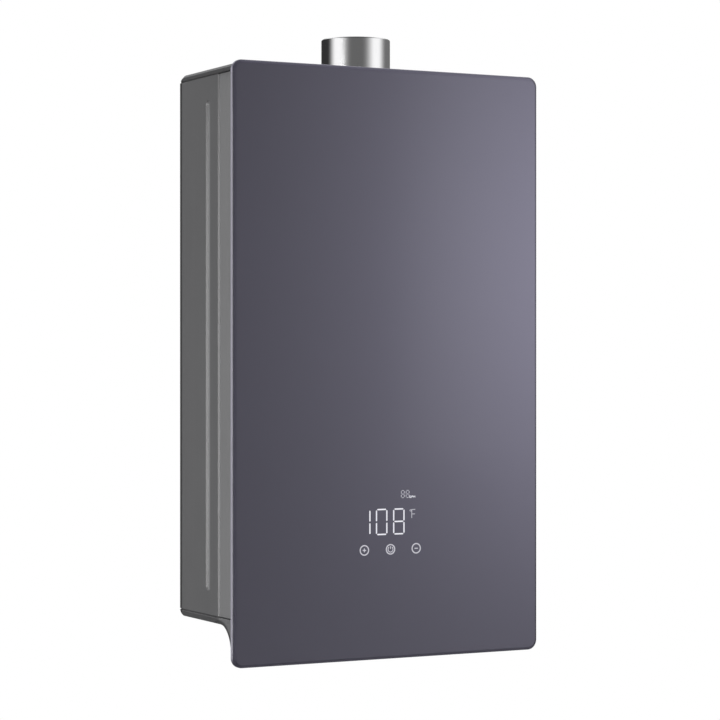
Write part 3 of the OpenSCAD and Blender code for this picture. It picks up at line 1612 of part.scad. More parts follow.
module control_board() {
    z0 = base_top + ctrl_z + ctrl_wall + slip;
    x0 = in_x - ctrl_wall - standoff_h;
    y0 = box_y - ctrl_w + ctrl_wall + slip;
    y1 = box_y - ctrl_wall - slip;
    board_len = ctrl_h - 2 * ctrl_wall - 2 * slip;
    part_h = ctrl_d - ctrl_wall - standoff_h - board_t - ctrl_wall;
    color("#2f6b43") {
        block([x0 - board_t, y0, z0], [x0, y1, z0 + board_len]);
        block([x0 - board_t - part_h, y0 + standoff_d, z0 + standoff_d],
              [x0 - board_t, (y0 + y1) / 2, z0 + board_len / 3]);
        for (i = [1 : 3]) translate([x0 - board_t, y1 - standoff_d - capacitor_d / 2, z0 + i * board_len / 4])
            rotate([0, -90, 0]) cylinder(d = capacitor_d, h = part_h / i);
    }
}

module spark_igniter() {
    post_x = igniter_d - in_x - over;
    post_z = gas_z + igniter_h / 2;
    color("#2b2c2e") {
        block([-in_x, box_y - igniter_w, gas_z], [igniter_d - in_x, box_y, gas_z + igniter_h]);
        for (s = [1, 3]) translate([post_x, box_y - s * igniter_w / 4, post_z])
            rotate([0, 90, 0]) cylinder(d = electrode_d, h = electrode_out);
    }
}

module display_board() {
    color("#2f6b43") block([-board_w / 2, y_board, disp_z - board_h / 2],
                           [board_w / 2, y_board + board_t, disp_z + board_h / 2]);
}

module display_light() {
    mid = disp_z + light_rise;
    color("#e9eaec") difference() {
        block([-light_w / 2, y_cap, mid - light_h / 2], [light_w / 2, y_board, mid + light_h / 2]);
        block([light_wall - light_w / 2, y_cap - over, mid - light_h / 2 + light_wall],
              [light_w / 2 - light_wall, y_board - light_wall, mid + light_h / 2 - light_wall]);
    }
}

module touch_pads() {
    color("#2b2c2e") for (i = [-1 : 1])
        front_rod([i * pad_pitch, y_board, disp_z - pad_drop], pad_d, y_board - y_cap);
}

module cable_gland() {
    gland_bot = z_bot - gland_drop;
    nut_z = -deck_z - gland_hex_h;
    color("#1f2022") translate([gland_x, -gland_setback, 0]) difference() {
        union() {
            translate([0, 0, gland_bot]) cylinder(d = gland_d, h = base_top + gland_hex_h - gland_bot);
            translate([0, 0, nut_z]) cylinder(d = gland_hex_d, h = gland_hex_h, $fn = 6);
            translate([0, 0, base_top]) cylinder(d = gland_hex_d, h = gland_hex_h, $fn = 6);
        }
        translate([0, 0, gland_bot - over]) cylinder(d = gland_bore, h = body_h);
    }
}

rear_casing();
wall_pads();
front_frame();
frame_seal();
glass_panel();
glass_bond();
top_cap();
bottom_cap();
top_deck();
base_deck();
cap_screws();
flue_collar();
collar_gasket();
collar_screws();
flap_pin();
backdraft_flap();
fan_volute();
fan_plate();
fan_motor();
motor_shaft();
fan_wheel();
exhaust_hood();
pressure_switch();
exchanger_shell();
exchanger_fins();
exchanger_tubes();
overheat_stat();
burner_box();
burner_tiles();
injector_rail();
injector_nozzles();
electrodes();
stack_bracket();
gas_inlet();
gas_valve();
shutoff_coil();
shutoff_plunger();
stage_coil();
stage_plunger();
modulating_coil();
modulating_plunger();
gas_feed();
cold_inlet();
inlet_filter();
flow_sensor();
turbine_axle();
flow_turbine();
cold_pipe();
hot_pipe();
hot_outlet();
outlet_thermistor();
drain_seal();
drain_plug();
control_housing();
control_board();
spark_igniter();
display_board();
display_light();
touch_pads();
cable_gland();
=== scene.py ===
"""Tankless gas water heater with a glass front: its finishes, its lit display, the light and the camera."""

import json
import math

import bmesh
import bpy
from mathutils import Matrix, Vector


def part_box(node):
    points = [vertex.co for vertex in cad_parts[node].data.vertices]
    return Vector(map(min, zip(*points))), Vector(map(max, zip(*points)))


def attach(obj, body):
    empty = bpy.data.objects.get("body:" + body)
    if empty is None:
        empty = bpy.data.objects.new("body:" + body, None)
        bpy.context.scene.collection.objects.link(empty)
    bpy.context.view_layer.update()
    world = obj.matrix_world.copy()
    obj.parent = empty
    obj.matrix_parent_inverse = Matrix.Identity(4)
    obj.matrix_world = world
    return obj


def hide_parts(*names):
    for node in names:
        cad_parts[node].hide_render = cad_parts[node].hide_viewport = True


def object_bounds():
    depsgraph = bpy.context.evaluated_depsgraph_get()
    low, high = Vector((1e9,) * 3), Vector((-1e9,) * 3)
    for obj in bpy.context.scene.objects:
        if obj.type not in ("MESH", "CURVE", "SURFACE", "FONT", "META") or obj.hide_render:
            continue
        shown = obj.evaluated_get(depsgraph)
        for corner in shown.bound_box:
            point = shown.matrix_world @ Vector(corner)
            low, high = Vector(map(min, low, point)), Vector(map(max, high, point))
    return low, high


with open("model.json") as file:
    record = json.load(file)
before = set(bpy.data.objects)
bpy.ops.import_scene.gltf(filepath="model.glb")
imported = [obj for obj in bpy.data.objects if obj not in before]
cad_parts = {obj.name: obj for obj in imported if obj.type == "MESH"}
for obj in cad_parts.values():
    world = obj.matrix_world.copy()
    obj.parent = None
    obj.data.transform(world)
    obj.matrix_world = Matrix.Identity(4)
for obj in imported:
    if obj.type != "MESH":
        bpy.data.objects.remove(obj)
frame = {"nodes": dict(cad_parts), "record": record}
cad_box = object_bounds()

MM = 0.001

# Camera at the photograph's place, in metres and degrees
CAMERA_AT = (-1.2426, -2.4451, -0.0128)
CAMERA_YAW = 27.647
CAMERA_TILT = -0.061
LENS = 121.44
SENSOR_W = 36.0

# Glass front, from the frame
GLASS_LOW, GLASS_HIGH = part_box("glass_panel")
GLASS_FRONT = GLASS_LOW.y
GLASS_BOTTOM = GLASS_LOW.z

# Curve of the bottom cap's skirt: its middle, radius and upper end
SKIRT_MIDDLE = (0.0, -106.3 * MM, -322.5 * MM)
SKIRT_R = 28.0 * MM
SKIRT_TOP = -294.5 * MM

# Masks of the paint, each from none to full: the outer side faces, the painted shade along the rear bend, the
# side beads' floor between their rim and rear flank with its painted highlight, the painted shade on the edge
# past the skirt's curve, the painted highlight on the bottom cap's bevelled seam and the cap's paler front part
SIDE_X = (182.0 * MM, 183.6 * MM)
REAR_BEND_Y = (-8.6 * MM, -6.6 * MM)
BEAD_RIM_X = (183.2 * MM, 184.2 * MM)
BEAD_FLOOR_Y = (-80.0 * MM, -76.0 * MM)
BEAD_FLANK_Y = (-73.9 * MM, -73.4 * MM)
CURVE_EDGE = (3.6 * MM, 5.4 * MM)
CURVE_FADE = 0.2
SEAM_LOW_Z = (-289.4 * MM, -288.9 * MM)
SEAM_HIGH_Z = (-288.2 * MM, -287.8 * MM)
SKIRT_LOW_Z = (-0.1, 0.0)
SKIRT_FRONT_Y = (-108.0 * MM, -101.0 * MM)

# Masks of the glass: distances in from its outline of the painted shade at the right edge, upper left corner and
# lower edge, and depths behind its front of the painted dark border and of the bare side
SHADE_RIGHT = (12.0 * MM, 5.0 * MM)
SHADE_CORNER_X = (6.0 * MM, 15.0 * MM)
SHADE_CORNER_Z = (11.0 * MM, 6.0 * MM)
SHADE_CORNER = 0.7
SHADE_BOTTOM = (5.0 * MM, 12.0 * MM)
BORDER_Y = (0.3 * MM, 1.0 * MM)
SHADED_BORDER_Y = (0.02 * MM, 0.3 * MM)
BARE_Y = (1.8 * MM, 2.2 * MM)

# Display on the glass: heights are above the glass's lower edge
PRINT_T = 0.12 * MM
BAR_W = 1.5 * MM
BAR_TIP = 0.55 * MM
BAR_GAP = 0.3 * MM
DIGIT_W = 14.1 * MM
DIGIT_H = 28.3 * MM
DIGIT_Z = 147.8 * MM
HUNDREDS_X = -31.0 * MM
TENS_X = -10.4 * MM
UNITS_X = 10.6 * MM
SMALL_BAR_W = 0.8 * MM
SMALL_DIGIT_W = 4.5 * MM
SMALL_DIGIT_H = 8.5 * MM
SMALL_DIGIT_Z = 177.1 * MM
SMALL_DIGIT_XS = (15.5 * MM, 21.4 * MM)
DEGREE_AT = (25.0 * MM, 159.2 * MM)
DEGREE_R = 1.1 * MM
DEGREE_STROKE = SMALL_BAR_W * 0.7
FLOW_UNIT_X = 23.9 * MM
FLOW_UNIT_Z = (173.0 * MM, 174.9 * MM)
FLOW_UNIT_W = 1.7 * MM
FLOW_UNIT_PITCH = 2.45 * MM
FLOW_UNIT_BAR = 0.5 * MM
UNIT_F_X = 26.5 * MM
UNIT_F_Z = (151.0 * MM, 160.5 * MM)
UNIT_F_MIDDLE = 155.3 * MM
UNIT_F_REACH = 4.4 * MM
UNIT_F_SHORT = UNIT_F_REACH * 0.9
KEY_Z = 118.0 * MM
KEY_XS = (-31.4 * MM, 0.4 * MM, 32.0 * MM)
KEY_R = 5.7 * MM
KEY_STROKE = 1.25 * MM
MARK_W = 1.1 * MM
MARK_HALF = 2.1 * MM
POWER_R = KEY_R * 0.6
POWER_W = MARK_W * 0.8
POWER_GAP = math.radians(35)
RING_SIDES = 72

# Pipe threads on the three connections: their places, then the ridge's middle radius, rise, base, pitch, turns
# and steps in a turn
THREAD_XS = {"cold": 130.0 * MM, "gas": 0.0, "hot": -130.0 * MM}
THREAD_Y = -62.5 * MM
THREAD_Z = -319.0 * MM
THREAD_R = 10.5 * MM
THREAD_RISE = 0.36 * MM
THREAD_BASE = 0.95 * MM
THREAD_PITCH = 1.814 * MM
THREAD_TURNS = 11
THREAD_STEPS = 48

# Cap and collar screws: head's diameter and height, shank's diameter and length; then their seats
CAP_SCREW = (8.0 * MM, 2.6 * MM, 4.0 * MM, 9.8 * MM)
CAP_SCREW_X = 150.0 * MM
CAP_SCREW_YS = (-20.0 * MM, -98.0 * MM)
CAP_SCREW_Z = 286.5 * MM
COLLAR_SCREW = (6.0 * MM, 2.2 * MM, 3.0 * MM, 4.9 * MM)
COLLAR_SCREW_R = 46.5 * MM
COLLAR_SCREW_Z = 297.2 * MM
COLLAR_Y = -62.5 * MM

# Screw heads: the rounding as a share of the height, the cross recess's cutter as shares of the head's diameter,
# diameter and height, and how far each screw was turned home, in degrees
HEAD_SIDES = 48
HEAD_ROUND = 0.45
HEAD_ROUND_STEPS = 5
RECESS_CUT = (0.6, 0.15, 1.2)
RECESS_TURNS = (20, 65, 5, 50, 35, 80, 10, 25)
SOFT_ANGLE = math.radians(35)

# Floor: its drop below the heater, its radius and sides, and the share of the radius at which it starts to fade
FLOOR_DROP = 0.55
FLOOR_R = 1.4
FLOOR_SIDES = 96
FLOOR_FADE = 0.55


class Value:
    """A node's output. Arithmetic on it adds Math nodes to the same material."""

    def __init__(self, finish, socket):
        self.finish = finish
        self.socket = socket

    def math(self, operation, *terms):
        return self.finish.node("ShaderNodeMath", {"operation": operation}, dict(enumerate(terms)))

    def __add__(self, other):
        return self.math("ADD", self, other)

    def __sub__(self, other):
        return self.math("SUBTRACT", self, other)

    def __rsub__(self, other):
        return self.math("SUBTRACT", other, self)

    def __mul__(self, other):
        return self.math("MULTIPLY", self, other)

    def __truediv__(self, other):
        return self.math("DIVIDE", self, other)

    def __abs__(self):
        return self.math("ABSOLUTE", self)

    __radd__ = __add__
    __rmul__ = __mul__

    def larger(self, other):
        """The larger of this and another value."""
        return self.math("MAXIMUM", self, other)

    def ramp(self, low, high):
        """0 below low, 1 above high and a smooth step between them."""
        span = {"From Min": low, "From Max": high, "Value": self}
        return self.finish.node("ShaderNodeMapRange", {"interpolation_type": "SMOOTHSTEP"}, span)


class Nodes:
    """A node tree that is filled by one method."""

    def __init__(self, tree):
        self.tree = tree

    def node(self, kind, settings=None, sockets=None, out=0):
        """Adds a node, sets it up, feeds its sockets and returns one of its outputs."""
        made = self.tree.nodes.new(kind)
        for key, value in (settings or {}).items():
            setattr(made, key, value)
        for key, value in (sockets or {}).items():
            self.feed(made.inputs[key], value)
        return Value(self, made.outputs[out])

    def feed(self, socket, value):
        """Links a value to a socket, or sets the socket to a plain number or colour."""
        if isinstance(value, Value):
            self.tree.links.new(value.socket, socket)
        else:
            socket.default_value = value


class Finish(Nodes):
    """A material with a Principled shader, fed by nodes that read Object coordinates."""

    def __init__(self, name, **sockets):
        self.material = bpy.data.materials.new(name)
        self.material.use_nodes = True
        super().__init__(self.material.node_tree)
        self.shader = self.tree.nodes["Principled BSDF"]
        self.place = self.node("ShaderNodeTexCoord", out="Object")
        self.set(**sockets)

    def set(self, **sockets):
        """Sets or links the shader's sockets: base_color feeds Base Color, and so on."""
        for key, value in sockets.items():
            name = key.replace("_", " ").title().replace("Ior", "IOR")
            self.feed(self.shader.inputs[name], value)
        return self

    def noise(self, scale, stretch=(1, 1, 1), detail=2.0, roughness=0.5):
        """Cloudy noise from 0 to 1, with about scale cells in a metre times the stretch of each axis."""
        spread = self.node("ShaderNodeMapping", sockets={"Vector": self.place, "Scale": stretch})
        sockets = {"Vector": spread, "Scale": scale, "Detail": detail, "Roughness": roughness}
        return self.node("ShaderNodeTexNoise", sockets=sockets)

    def cells(self, scale, out="Color"):
        """Crystal-like cells, with about scale of them in a metre."""
        return self.node("ShaderNodeTexVoronoi", sockets={"Vector": self.place, "Scale": scale}, out=out)

    def axis(self, name):
        """One Object coordinate."""
        return self.node("ShaderNodeSeparateXYZ", sockets={"Vector": self.place}, out=name)

    def blend(self, factor, a, b):
        """A colour between a and b."""
        sockets = {"Factor": factor, 6: a, 7: b}
        return self.node("ShaderNodeMix", {"data_type": "RGBA"}, sockets, out=2)

    def bump(self, height, strength, distance):
        """A normal that follows a height."""
        return self.node("ShaderNodeBump", sockets={"Height": height, "Strength": strength, "Distance": distance})


def rgb(red, green, blue):
    """A linear colour from sRGB numbers of 0 to 255."""
    def linear(c):
        c /= 255
        return c / 12.92 if c <= 0.04045 else ((c + 0.055) / 1.055) ** 2.4
    return (linear(red), linear(green), linear(blue), 1.0)


def tint(colour, factor):
    """The same colour, lighter or darker."""
    return tuple(c * factor for c in colour[:3]) + (1.0,)


# Finishes

# Painted shade: the dark grey that powder coats darken to along the masked edges
PAINTED_SHADE_GREY = rgb(58, 58, 59)


def powder_coat(name, colour, roughness, edge=None, others=()):
    """Satin powder coat: a fine orange peel, faint clouds and the sheet's own rolling lines under it.
    edge is a mask of painted shade, where the coat darkens to a dark grey; others are masks with their own
    shades, for painted highlights and a second paint."""
    f = Finish(name, ior=1.45)
    peel = f.noise(900, detail=3)
    cloud = f.noise(18, stretch=(1, 1, 0.5), detail=4)
    lines = f.noise(40, stretch=(9, 9, 0.12), detail=3, roughness=0.7)
    tone = 0.2 + 0.35 * cloud + 0.45 * lines
    coat = f.blend(tone, tint(colour, 0.86), tint(colour, 1.14))
    for mask, shade in others:
        coat = f.blend(mask(f), coat, f.blend(tone, tint(shade, 0.86), tint(shade, 1.14)))
    # Painted shade: the coat darkens to dark grey where the edge mask is
    if edge:
        coat = f.blend(edge(f), coat, PAINTED_SHADE_GREY)
    f.set(base_color=coat)
    f.set(roughness=roughness - 0.06 + 0.12 * peel)
    return f.set(normal=f.bump(peel, 0.16, 0.25 * MM)).material


def on_sides(f):
    """The outer side faces."""
    return abs(f.axis("X")).ramp(*SIDE_X)


def rear_painted_shade(f):
    """Painted shade on the last few millimetres of the casing's and the caps' sides before the wall."""
    return on_sides(f) * f.axis("Y").ramp(*REAR_BEND_Y)


def bead_painted_highlight(f):
    """A painted highlight on the rear part of the side beads' floor, where light from the front falls."""
    y = f.axis("Y")
    floor = 1 - abs(f.axis("X")).ramp(*BEAD_RIM_X)
    return floor * y.ramp(*BEAD_FLOOR_Y) * (1 - y.ramp(*BEAD_FLANK_Y))


def cap_painted_shade(f):
    """Painted shade on the rear edges of both caps and on the edge of the skirt's curve."""
    from_middle = f.node("ShaderNodeVectorMath", {"operation": "SUBTRACT"}, {0: f.place, 1: SKIRT_MIDDLE})
    in_section = f.node("ShaderNodeVectorMath", {"operation": "MULTIPLY"}, {0: from_middle, 1: (0, 1, 1)})
    past_curve = f.node("ShaderNodeVectorMath", {"operation": "LENGTH"}, {0: in_section}, out="Value") - SKIRT_R
    fade = 1 - CURVE_FADE * f.axis("Z").ramp(SKIRT_MIDDLE[2], SKIRT_TOP)
    curve = (1 - past_curve.ramp(*CURVE_EDGE)) * fade * on_sides(f)
    return curve.larger(rear_painted_shade(f))


def seam_painted_highlight(f):
    """A painted highlight on the bottom cap's bevelled edge along the seam."""
    z = f.axis("Z")
    return z.ramp(*SEAM_LOW_Z) * (1 - z.ramp(*SEAM_HIGH_Z))


def skirt_front(f):
    """The bottom cap's front part, which carries the frame's shade."""
    low = 1 - f.axis("Z").ramp(*SKIRT_LOW_Z)
    return low * (1 - f.axis("Y").ramp(*SKIRT_FRONT_Y))


def back_painted_glass(name, colour, edge_colour):
    """Tempered glass with paint behind it; painted shade darkens the paint under the soft edge, and more at the
    right edge, upper left corner and lower edge; its ground side is bare and pale, with painted shade at those
    places too.
    """
    f = Finish(name, ior=1.5, specular_ior_level=0.25)
    x, z = f.axis("X"), f.axis("Z")
    depth = f.axis("Y") - GLASS_FRONT
    # Painted shade: the right edge, upper left corner and lower edge, and a dark border under the soft edge
    right = x.ramp(*(GLASS_HIGH.x - d for d in SHADE_RIGHT))
    left = 1 - x.ramp(*(GLASS_LOW.x + d for d in SHADE_CORNER_X))
    corner = left * z.ramp(*(GLASS_HIGH.z - d for d in SHADE_CORNER_Z))
    bottom = 1 - z.ramp(*(GLASS_BOTTOM + d for d in SHADE_BOTTOM))
    shaded = right.larger(bottom.larger(SHADE_CORNER * corner))
    border = depth.ramp(*BORDER_Y).larger(shaded * depth.ramp(*SHADED_BORDER_Y))
    bare = depth.ramp(*BARE_Y)
    fleck = f.noise(2600, detail=1)
    cloud = f.noise(7, detail=3)
    paint = f.blend(0.35 * cloud + 0.65 * fleck, tint(colour, 0.95), tint(colour, 1.05))
    # Painted shade: the paint darkens under the soft edge, more where the shaded masks are
    paint = f.blend(border, paint, f.blend(shaded, tint(colour, 0.72), tint(colour, 0.56)))
    f.set(base_color=f.blend(bare, paint, f.blend(shaded, edge_colour, tint(colour, 0.5))))
    ripple = f.noise(11, detail=1)
    f.set(roughness=0.11 + 0.05 * cloud + 0.3 * bare)
    return f.set(normal=f.bump(ripple, 0.02, 1.0 * MM)).material


def galvanised(name, colour):
    """Zinc spangle with grey bloom."""
    f = Finish(name, metallic=0.9)
    spangle = f.node("ShaderNodeSeparateColor", sockets={0: f.cells(140)})
    bloom = f.noise(30, detail=5)
    f.set(base_color=f.blend(0.6 * spangle + 0.4 * bloom, tint(colour, 0.72), tint(colour, 1.15)))
    return f.set(roughness=0.32 + 0.2 * bloom).material


def rolled_stainless(name, colour, roughness):
    """Bright stainless with lines round it from rolling, and a few faint smears."""
    f = Finish(name, metallic=1.0)
    lines = f.noise(30, stretch=(1, 1, 120), detail=2)
    smear = f.noise(45, stretch=(1, 1, 0.4), detail=3)
    f.set(base_color=f.blend(0.5 * lines + 0.5 * smear, tint(colour, 0.93), tint(colour, 1.05)))
    f.set(roughness=roughness + 0.06 * lines + 0.05 * smear)
    return f.set(normal=f.bump(lines, 0.03, 0.05 * MM)).material


def machined_metal(name, colour, roughness, scale):
    """Turned or drawn metal: fine tool lines and a patchy dulling."""
    f = Finish(name, metallic=1.0)
    lines = f.noise(scale, stretch=(1, 1, 30), detail=2)
    dull = f.noise(60, detail=5)
    f.set(base_color=f.blend(dull.ramp(0.35, 0.7), colour, tint(colour, 0.66)))
    f.set(roughness=roughness + 0.2 * dull)
    return f.set(normal=f.bump(lines, 0.08, 0.05 * MM)).material


def cast_alloy(name, colour):
    """Die-cast aluminium: a pebbled skin with dark pores."""
    f = Finish(name, metallic=0.85)
    skin = f.noise(700, detail=4, roughness=0.65)
    cloud = f.noise(35, detail=3)
    f.set(base_color=f.blend(0.5 * skin + 0.5 * cloud, tint(colour, 0.75), tint(colour, 1.12)))
    f.set(roughness=0.38 + 0.22 * skin)
    return f.set(normal=f.bump(skin, 0.18, 0.2 * MM)).material


def moulded_plastic(name, colour, roughness):
    """Spark-textured moulding."""
    f = Finish(name, ior=1.46)
    texture = f.noise(1500, detail=2)
    cloud = f.noise(50, detail=2)
    f.set(base_color=f.blend(0.6 * texture + 0.4 * cloud, tint(colour, 0.85), tint(colour, 1.15)))
    f.set(roughness=roughness - 0.05 + 0.12 * texture)
    return f.set(normal=f.bump(texture, 0.25, 0.12 * MM)).material


def glazed_ceramic(name, colour):
    """White glaze with a faint crackle and small specks."""
    f = Finish(name, coat_weight=0.6, coat_roughness=0.05)
    crackle = f.cells(900, out="Distance")
    specks = f.noise(2200, detail=1).ramp(0.68, 0.74)
    f.set(base_color=f.blend(specks * 0.6, colour, tint(colour, 0.45)))
    f.set(roughness=0.3 + 0.15 * crackle)
    return f.material


def circuit_board(name, mask_colour, copper_colour):
    """Solder resist over copper tracks, with bare pads."""
    f = Finish(name, ior=1.5)
    track = f.noise(260, stretch=(1, 1, 0.25), detail=0).ramp(0.52, 0.54)
    pads = 1 - f.cells(300, out="Distance").ramp(0.22, 0.25)
    resist = f.blend(track, mask_colour, tint(mask_colour, 1.7))
    f.set(base_color=f.blend(pads, resist, copper_colour))
    f.set(metallic=pads * 0.9, roughness=0.42 - 0.14 * pads)
    return f.set(normal=f.bump(track + pads, 0.2, 0.05 * MM)).material


def closed_foam(name, colour):
    """Closed-cell rubber foam: cut bubbles all over."""
    f = Finish(name)
    bubbles = f.cells(1800, out="Distance")
    f.set(base_color=f.blend(bubbles, tint(colour, 0.6), tint(colour, 1.6)))
    f.set(roughness=0.75 + 0.2 * bubbles)
    return f.set(normal=f.bump(bubbles, 0.4, 0.2 * MM)).material


def lit_window(name, colour, strength):
    """Light through a clear window in the glass's paint, a little uneven between its lamps."""
    f = Finish(name, roughness=0.2, emission_strength=strength)
    lamps = f.noise(120, detail=1)
    glow = f.blend(lamps, tint(colour, 0.94), tint(colour, 1.03))
    return f.set(base_color=tint(colour, 0.03), emission_color=glow).material


FRAME_SHADE = rgb(118, 118, 119)
FINISHES = {
    # The casing's rear bend carries painted shade
    "casing_paint": powder_coat("casing_paint", rgb(95, 95, 96), 0.33, edge=rear_painted_shade,
                                # the side beads' floor carries a painted highlight
                                others=((bead_painted_highlight, rgb(122, 122, 123)),)),
    "frame_paint": powder_coat("frame_paint", FRAME_SHADE, 0.34),
    # The caps carry painted shade at their rear edges and along the skirt's curve
    "cap_paint": powder_coat("cap_paint", rgb(75, 75, 76), 0.36, cap_painted_shade,
                             # the bottom cap's seam carries a painted highlight
                             ((seam_painted_highlight, rgb(84, 84, 85)), (skirt_front, tint(FRAME_SHADE, 0.76)))),
    "front_glass": back_painted_glass("front_glass", rgb(97, 95, 109), rgb(153, 151, 163)),
    "zinc_steel": galvanised("zinc_steel", rgb(176, 180, 184)),
    "screw_steel": machined_metal("screw_steel", rgb(196, 197, 200), 0.24, 300),
    "stainless": rolled_stainless("stainless", rgb(250, 250, 251), 0.1),
    "fan_alloy": cast_alloy("fan_alloy", rgb(178, 180, 183)),
    "motor_black": powder_coat("motor_black", rgb(48, 49, 52), 0.38),
    "copper": machined_metal("copper", rgb(206, 136, 98), 0.22, 200),
    "fitting_brass": machined_metal("fitting_brass", rgb(205, 172, 98), 0.2, 260),
    "black_plastic": moulded_plastic("black_plastic", rgb(38, 38, 40), 0.5),
    "pale_plastic": moulded_plastic("pale_plastic", rgb(218, 216, 209), 0.45),
    "ceramic": glazed_ceramic("ceramic", rgb(232, 228, 219)),
    "circuit_board": circuit_board("circuit_board", rgb(30, 92, 58), rgb(206, 172, 110)),
    "foam_rubber": closed_foam("foam_rubber", rgb(34, 34, 35)),
}
LIT_BRIGHT = lit_window("display_bright", rgb(232, 232, 240), 1.0)
LIT_SOFT = lit_window("display_soft", rgb(196, 195, 204), 1.0)
LIT_DIM = lit_window("display_dim", rgb(184, 183, 193), 1.0)

for part in frame["record"]["subparts"]:
    node = frame["nodes"][part["node"]]
    node.material_slots[0].material = FINISHES[part["material_slot"]]


# Modelling helpers

def pick(piece):
    """Makes one object the only one that is selected and active."""
    bpy.ops.object.select_all(action="DESELECT")
    piece.select_set(True)
    bpy.context.view_layer.objects.active = piece


def onto_glass(x, height, angle=0.0):
    """Place on the glass front: x across, height above its lower edge, turned by angle in its plane."""
    at = Matrix.Translation((x, GLASS_FRONT, GLASS_BOTTOM + height))
    return at @ Matrix.Rotation(math.pi / 2, 4, "X") @ Matrix.Rotation(angle, 4, "Z")


def raise_print(piece):
    """Gives a flat outline the thickness of a printed window."""
    solid = piece.modifiers.new("print", "SOLIDIFY")
    solid.thickness = PRINT_T
    solid.offset = 1.0
    bpy.ops.object.modifier_apply(modifier="print")


def settle(piece, place):
    """Puts a piece's place into its mesh, with its object left at the origin."""
    piece.matrix_world = place
    bpy.ops.object.transform_apply(location=True, rotation=True, scale=True)
    return piece


def bar(start, end, width, tip):
    """A flat lit bar between two points of the glass, with chamfered ends."""
    run = Vector(end) - Vector(start)
    middle = (Vector(end) + Vector(start)) / 2
    bpy.ops.object.select_all(action="DESELECT")
    bpy.ops.mesh.primitive_plane_add(size=1)
    piece = bpy.context.active_object
    piece.scale = (run.length, width, 1)
    bpy.ops.object.transform_apply(scale=True)
    bpy.ops.object.mode_set(mode="EDIT")
    bpy.ops.mesh.select_all(action="SELECT")
    bpy.ops.mesh.bevel(affect="VERTICES", offset=tip)
    bpy.ops.object.mode_set(mode="OBJECT")
    raise_print(piece)
    return settle(piece, onto_glass(middle.x, middle.y, math.atan2(run.y, run.x)))


def ring(x, height, radius, stroke, gap=0.0):
    """A flat lit ring on the glass; gap is half the angle that is left open at its top."""
    bpy.ops.object.select_all(action="DESELECT")
    bpy.ops.mesh.primitive_circle_add(vertices=RING_SIDES, radius=radius, fill_type="NGON")
    piece = bpy.context.active_object
    bpy.ops.object.mode_set(mode="EDIT")
    bpy.ops.mesh.select_all(action="SELECT")
    bpy.ops.mesh.inset(thickness=stroke)
    bpy.ops.mesh.delete(type="FACE")
    mesh = bmesh.from_edit_mesh(piece.data)
    for face in mesh.faces:
        middle = face.calc_center_median()
        face.select_set(abs(math.atan2(middle.x, middle.y)) < gap)
    bpy.ops.mesh.delete(type="FACE")
    bpy.ops.object.mode_set(mode="OBJECT")
    raise_print(piece)
    return settle(piece, onto_glass(x, height))


def join(pieces, name, material, body="heater"):
    """Joins pieces into one named piece that rides on a body."""
    pick(pieces[0])
    for piece in pieces:
        piece.select_set(True)
    if len(pieces) > 1:
        bpy.ops.object.join()
    made = bpy.context.active_object
    made.name = name
    made.data.materials.clear()
    made.data.materials.append(material)
    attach(made, body)
    return made


# Display

SEGMENTS = {"0": "abcdef", "1": "bc", "8": "abcdefg"}


def digit(text, x, height, size, width, tip):
    """A seven-segment digit centred on a point of the glass."""
    half_w = (size[0] - width) / 2
    half_h = (size[1] - width) / 2
    left, right = x - half_w, x + half_w
    low, high = height - half_h, height + half_h
    in_x = Vector((tip + BAR_GAP, 0))
    in_z = Vector((0, tip + BAR_GAP))
    ends = {
        "a": (Vector((left, high)) + in_x, Vector((right, high)) - in_x),
        "b": (Vector((right, height)) + in_z, Vector((right, high)) - in_z),
        "c": (Vector((right, low)) + in_z, Vector((right, height)) - in_z),
        "d": (Vector((left, low)) + in_x, Vector((right, low)) - in_x),
        "e": (Vector((left, low)) + in_z, Vector((left, height)) - in_z),
        "f": (Vector((left, height)) + in_z, Vector((left, high)) - in_z),
        "g": (Vector((left, height)) + in_x, Vector((right, height)) - in_x),
    }
    return [bar(*ends[s], width, tip) for s in SEGMENTS[text]]


def temperature():
    """The large set temperature."""
    places = (("1", HUNDREDS_X), ("0", TENS_X), ("8", UNITS_X))
    bars = [b for text, x in places for b in digit(text, x, DIGIT_Z, (DIGIT_W, DIGIT_H), BAR_W, BAR_TIP)]
    return join(bars, "temperature_digits", LIT_BRIGHT)


def temperature_unit():
    """Degree ring and letter beside the large digits."""
    low, high = UNIT_F_Z
    top = high - SMALL_BAR_W / 2
    tip = SMALL_BAR_W / 4
    marks = [
        ring(*DEGREE_AT, DEGREE_R, DEGREE_STROKE),
        bar((UNIT_F_X, low), (UNIT_F_X, high), SMALL_BAR_W, tip),
        bar((UNIT_F_X, top), (UNIT_F_X + UNIT_F_REACH, top), SMALL_BAR_W, tip),
        bar((UNIT_F_X, UNIT_F_MIDDLE), (UNIT_F_X + UNIT_F_SHORT, UNIT_F_MIDDLE), SMALL_BAR_W, tip),
    ]
    return join(marks, "temperature_unit", LIT_DIM)


def flow_reading():
    """The small two-digit reading above."""
    size = (SMALL_DIGIT_W, SMALL_DIGIT_H)
    tip = SMALL_BAR_W / 3
    bars = [b for x in SMALL_DIGIT_XS for b in digit("8", x, SMALL_DIGIT_Z, size, SMALL_BAR_W, tip)]
    return join(bars, "flow_digits", LIT_DIM)


# Strokes of the flow unit's letters, on a grid of 2 across and 4 up
LETTERS = {
    "G": ((2, 4, 0, 4), (0, 4, 0, 0), (0, 0, 2, 0), (2, 0, 2, 2), (2, 2, 1, 2)),
    "P": ((0, 0, 0, 4), (0, 4, 2, 4), (2, 4, 2, 2), (2, 2, 0, 2)),
    "M": ((0, 0, 0, 4), (0, 4, 1, 2), (1, 2, 2, 4), (2, 4, 2, 0)),
}


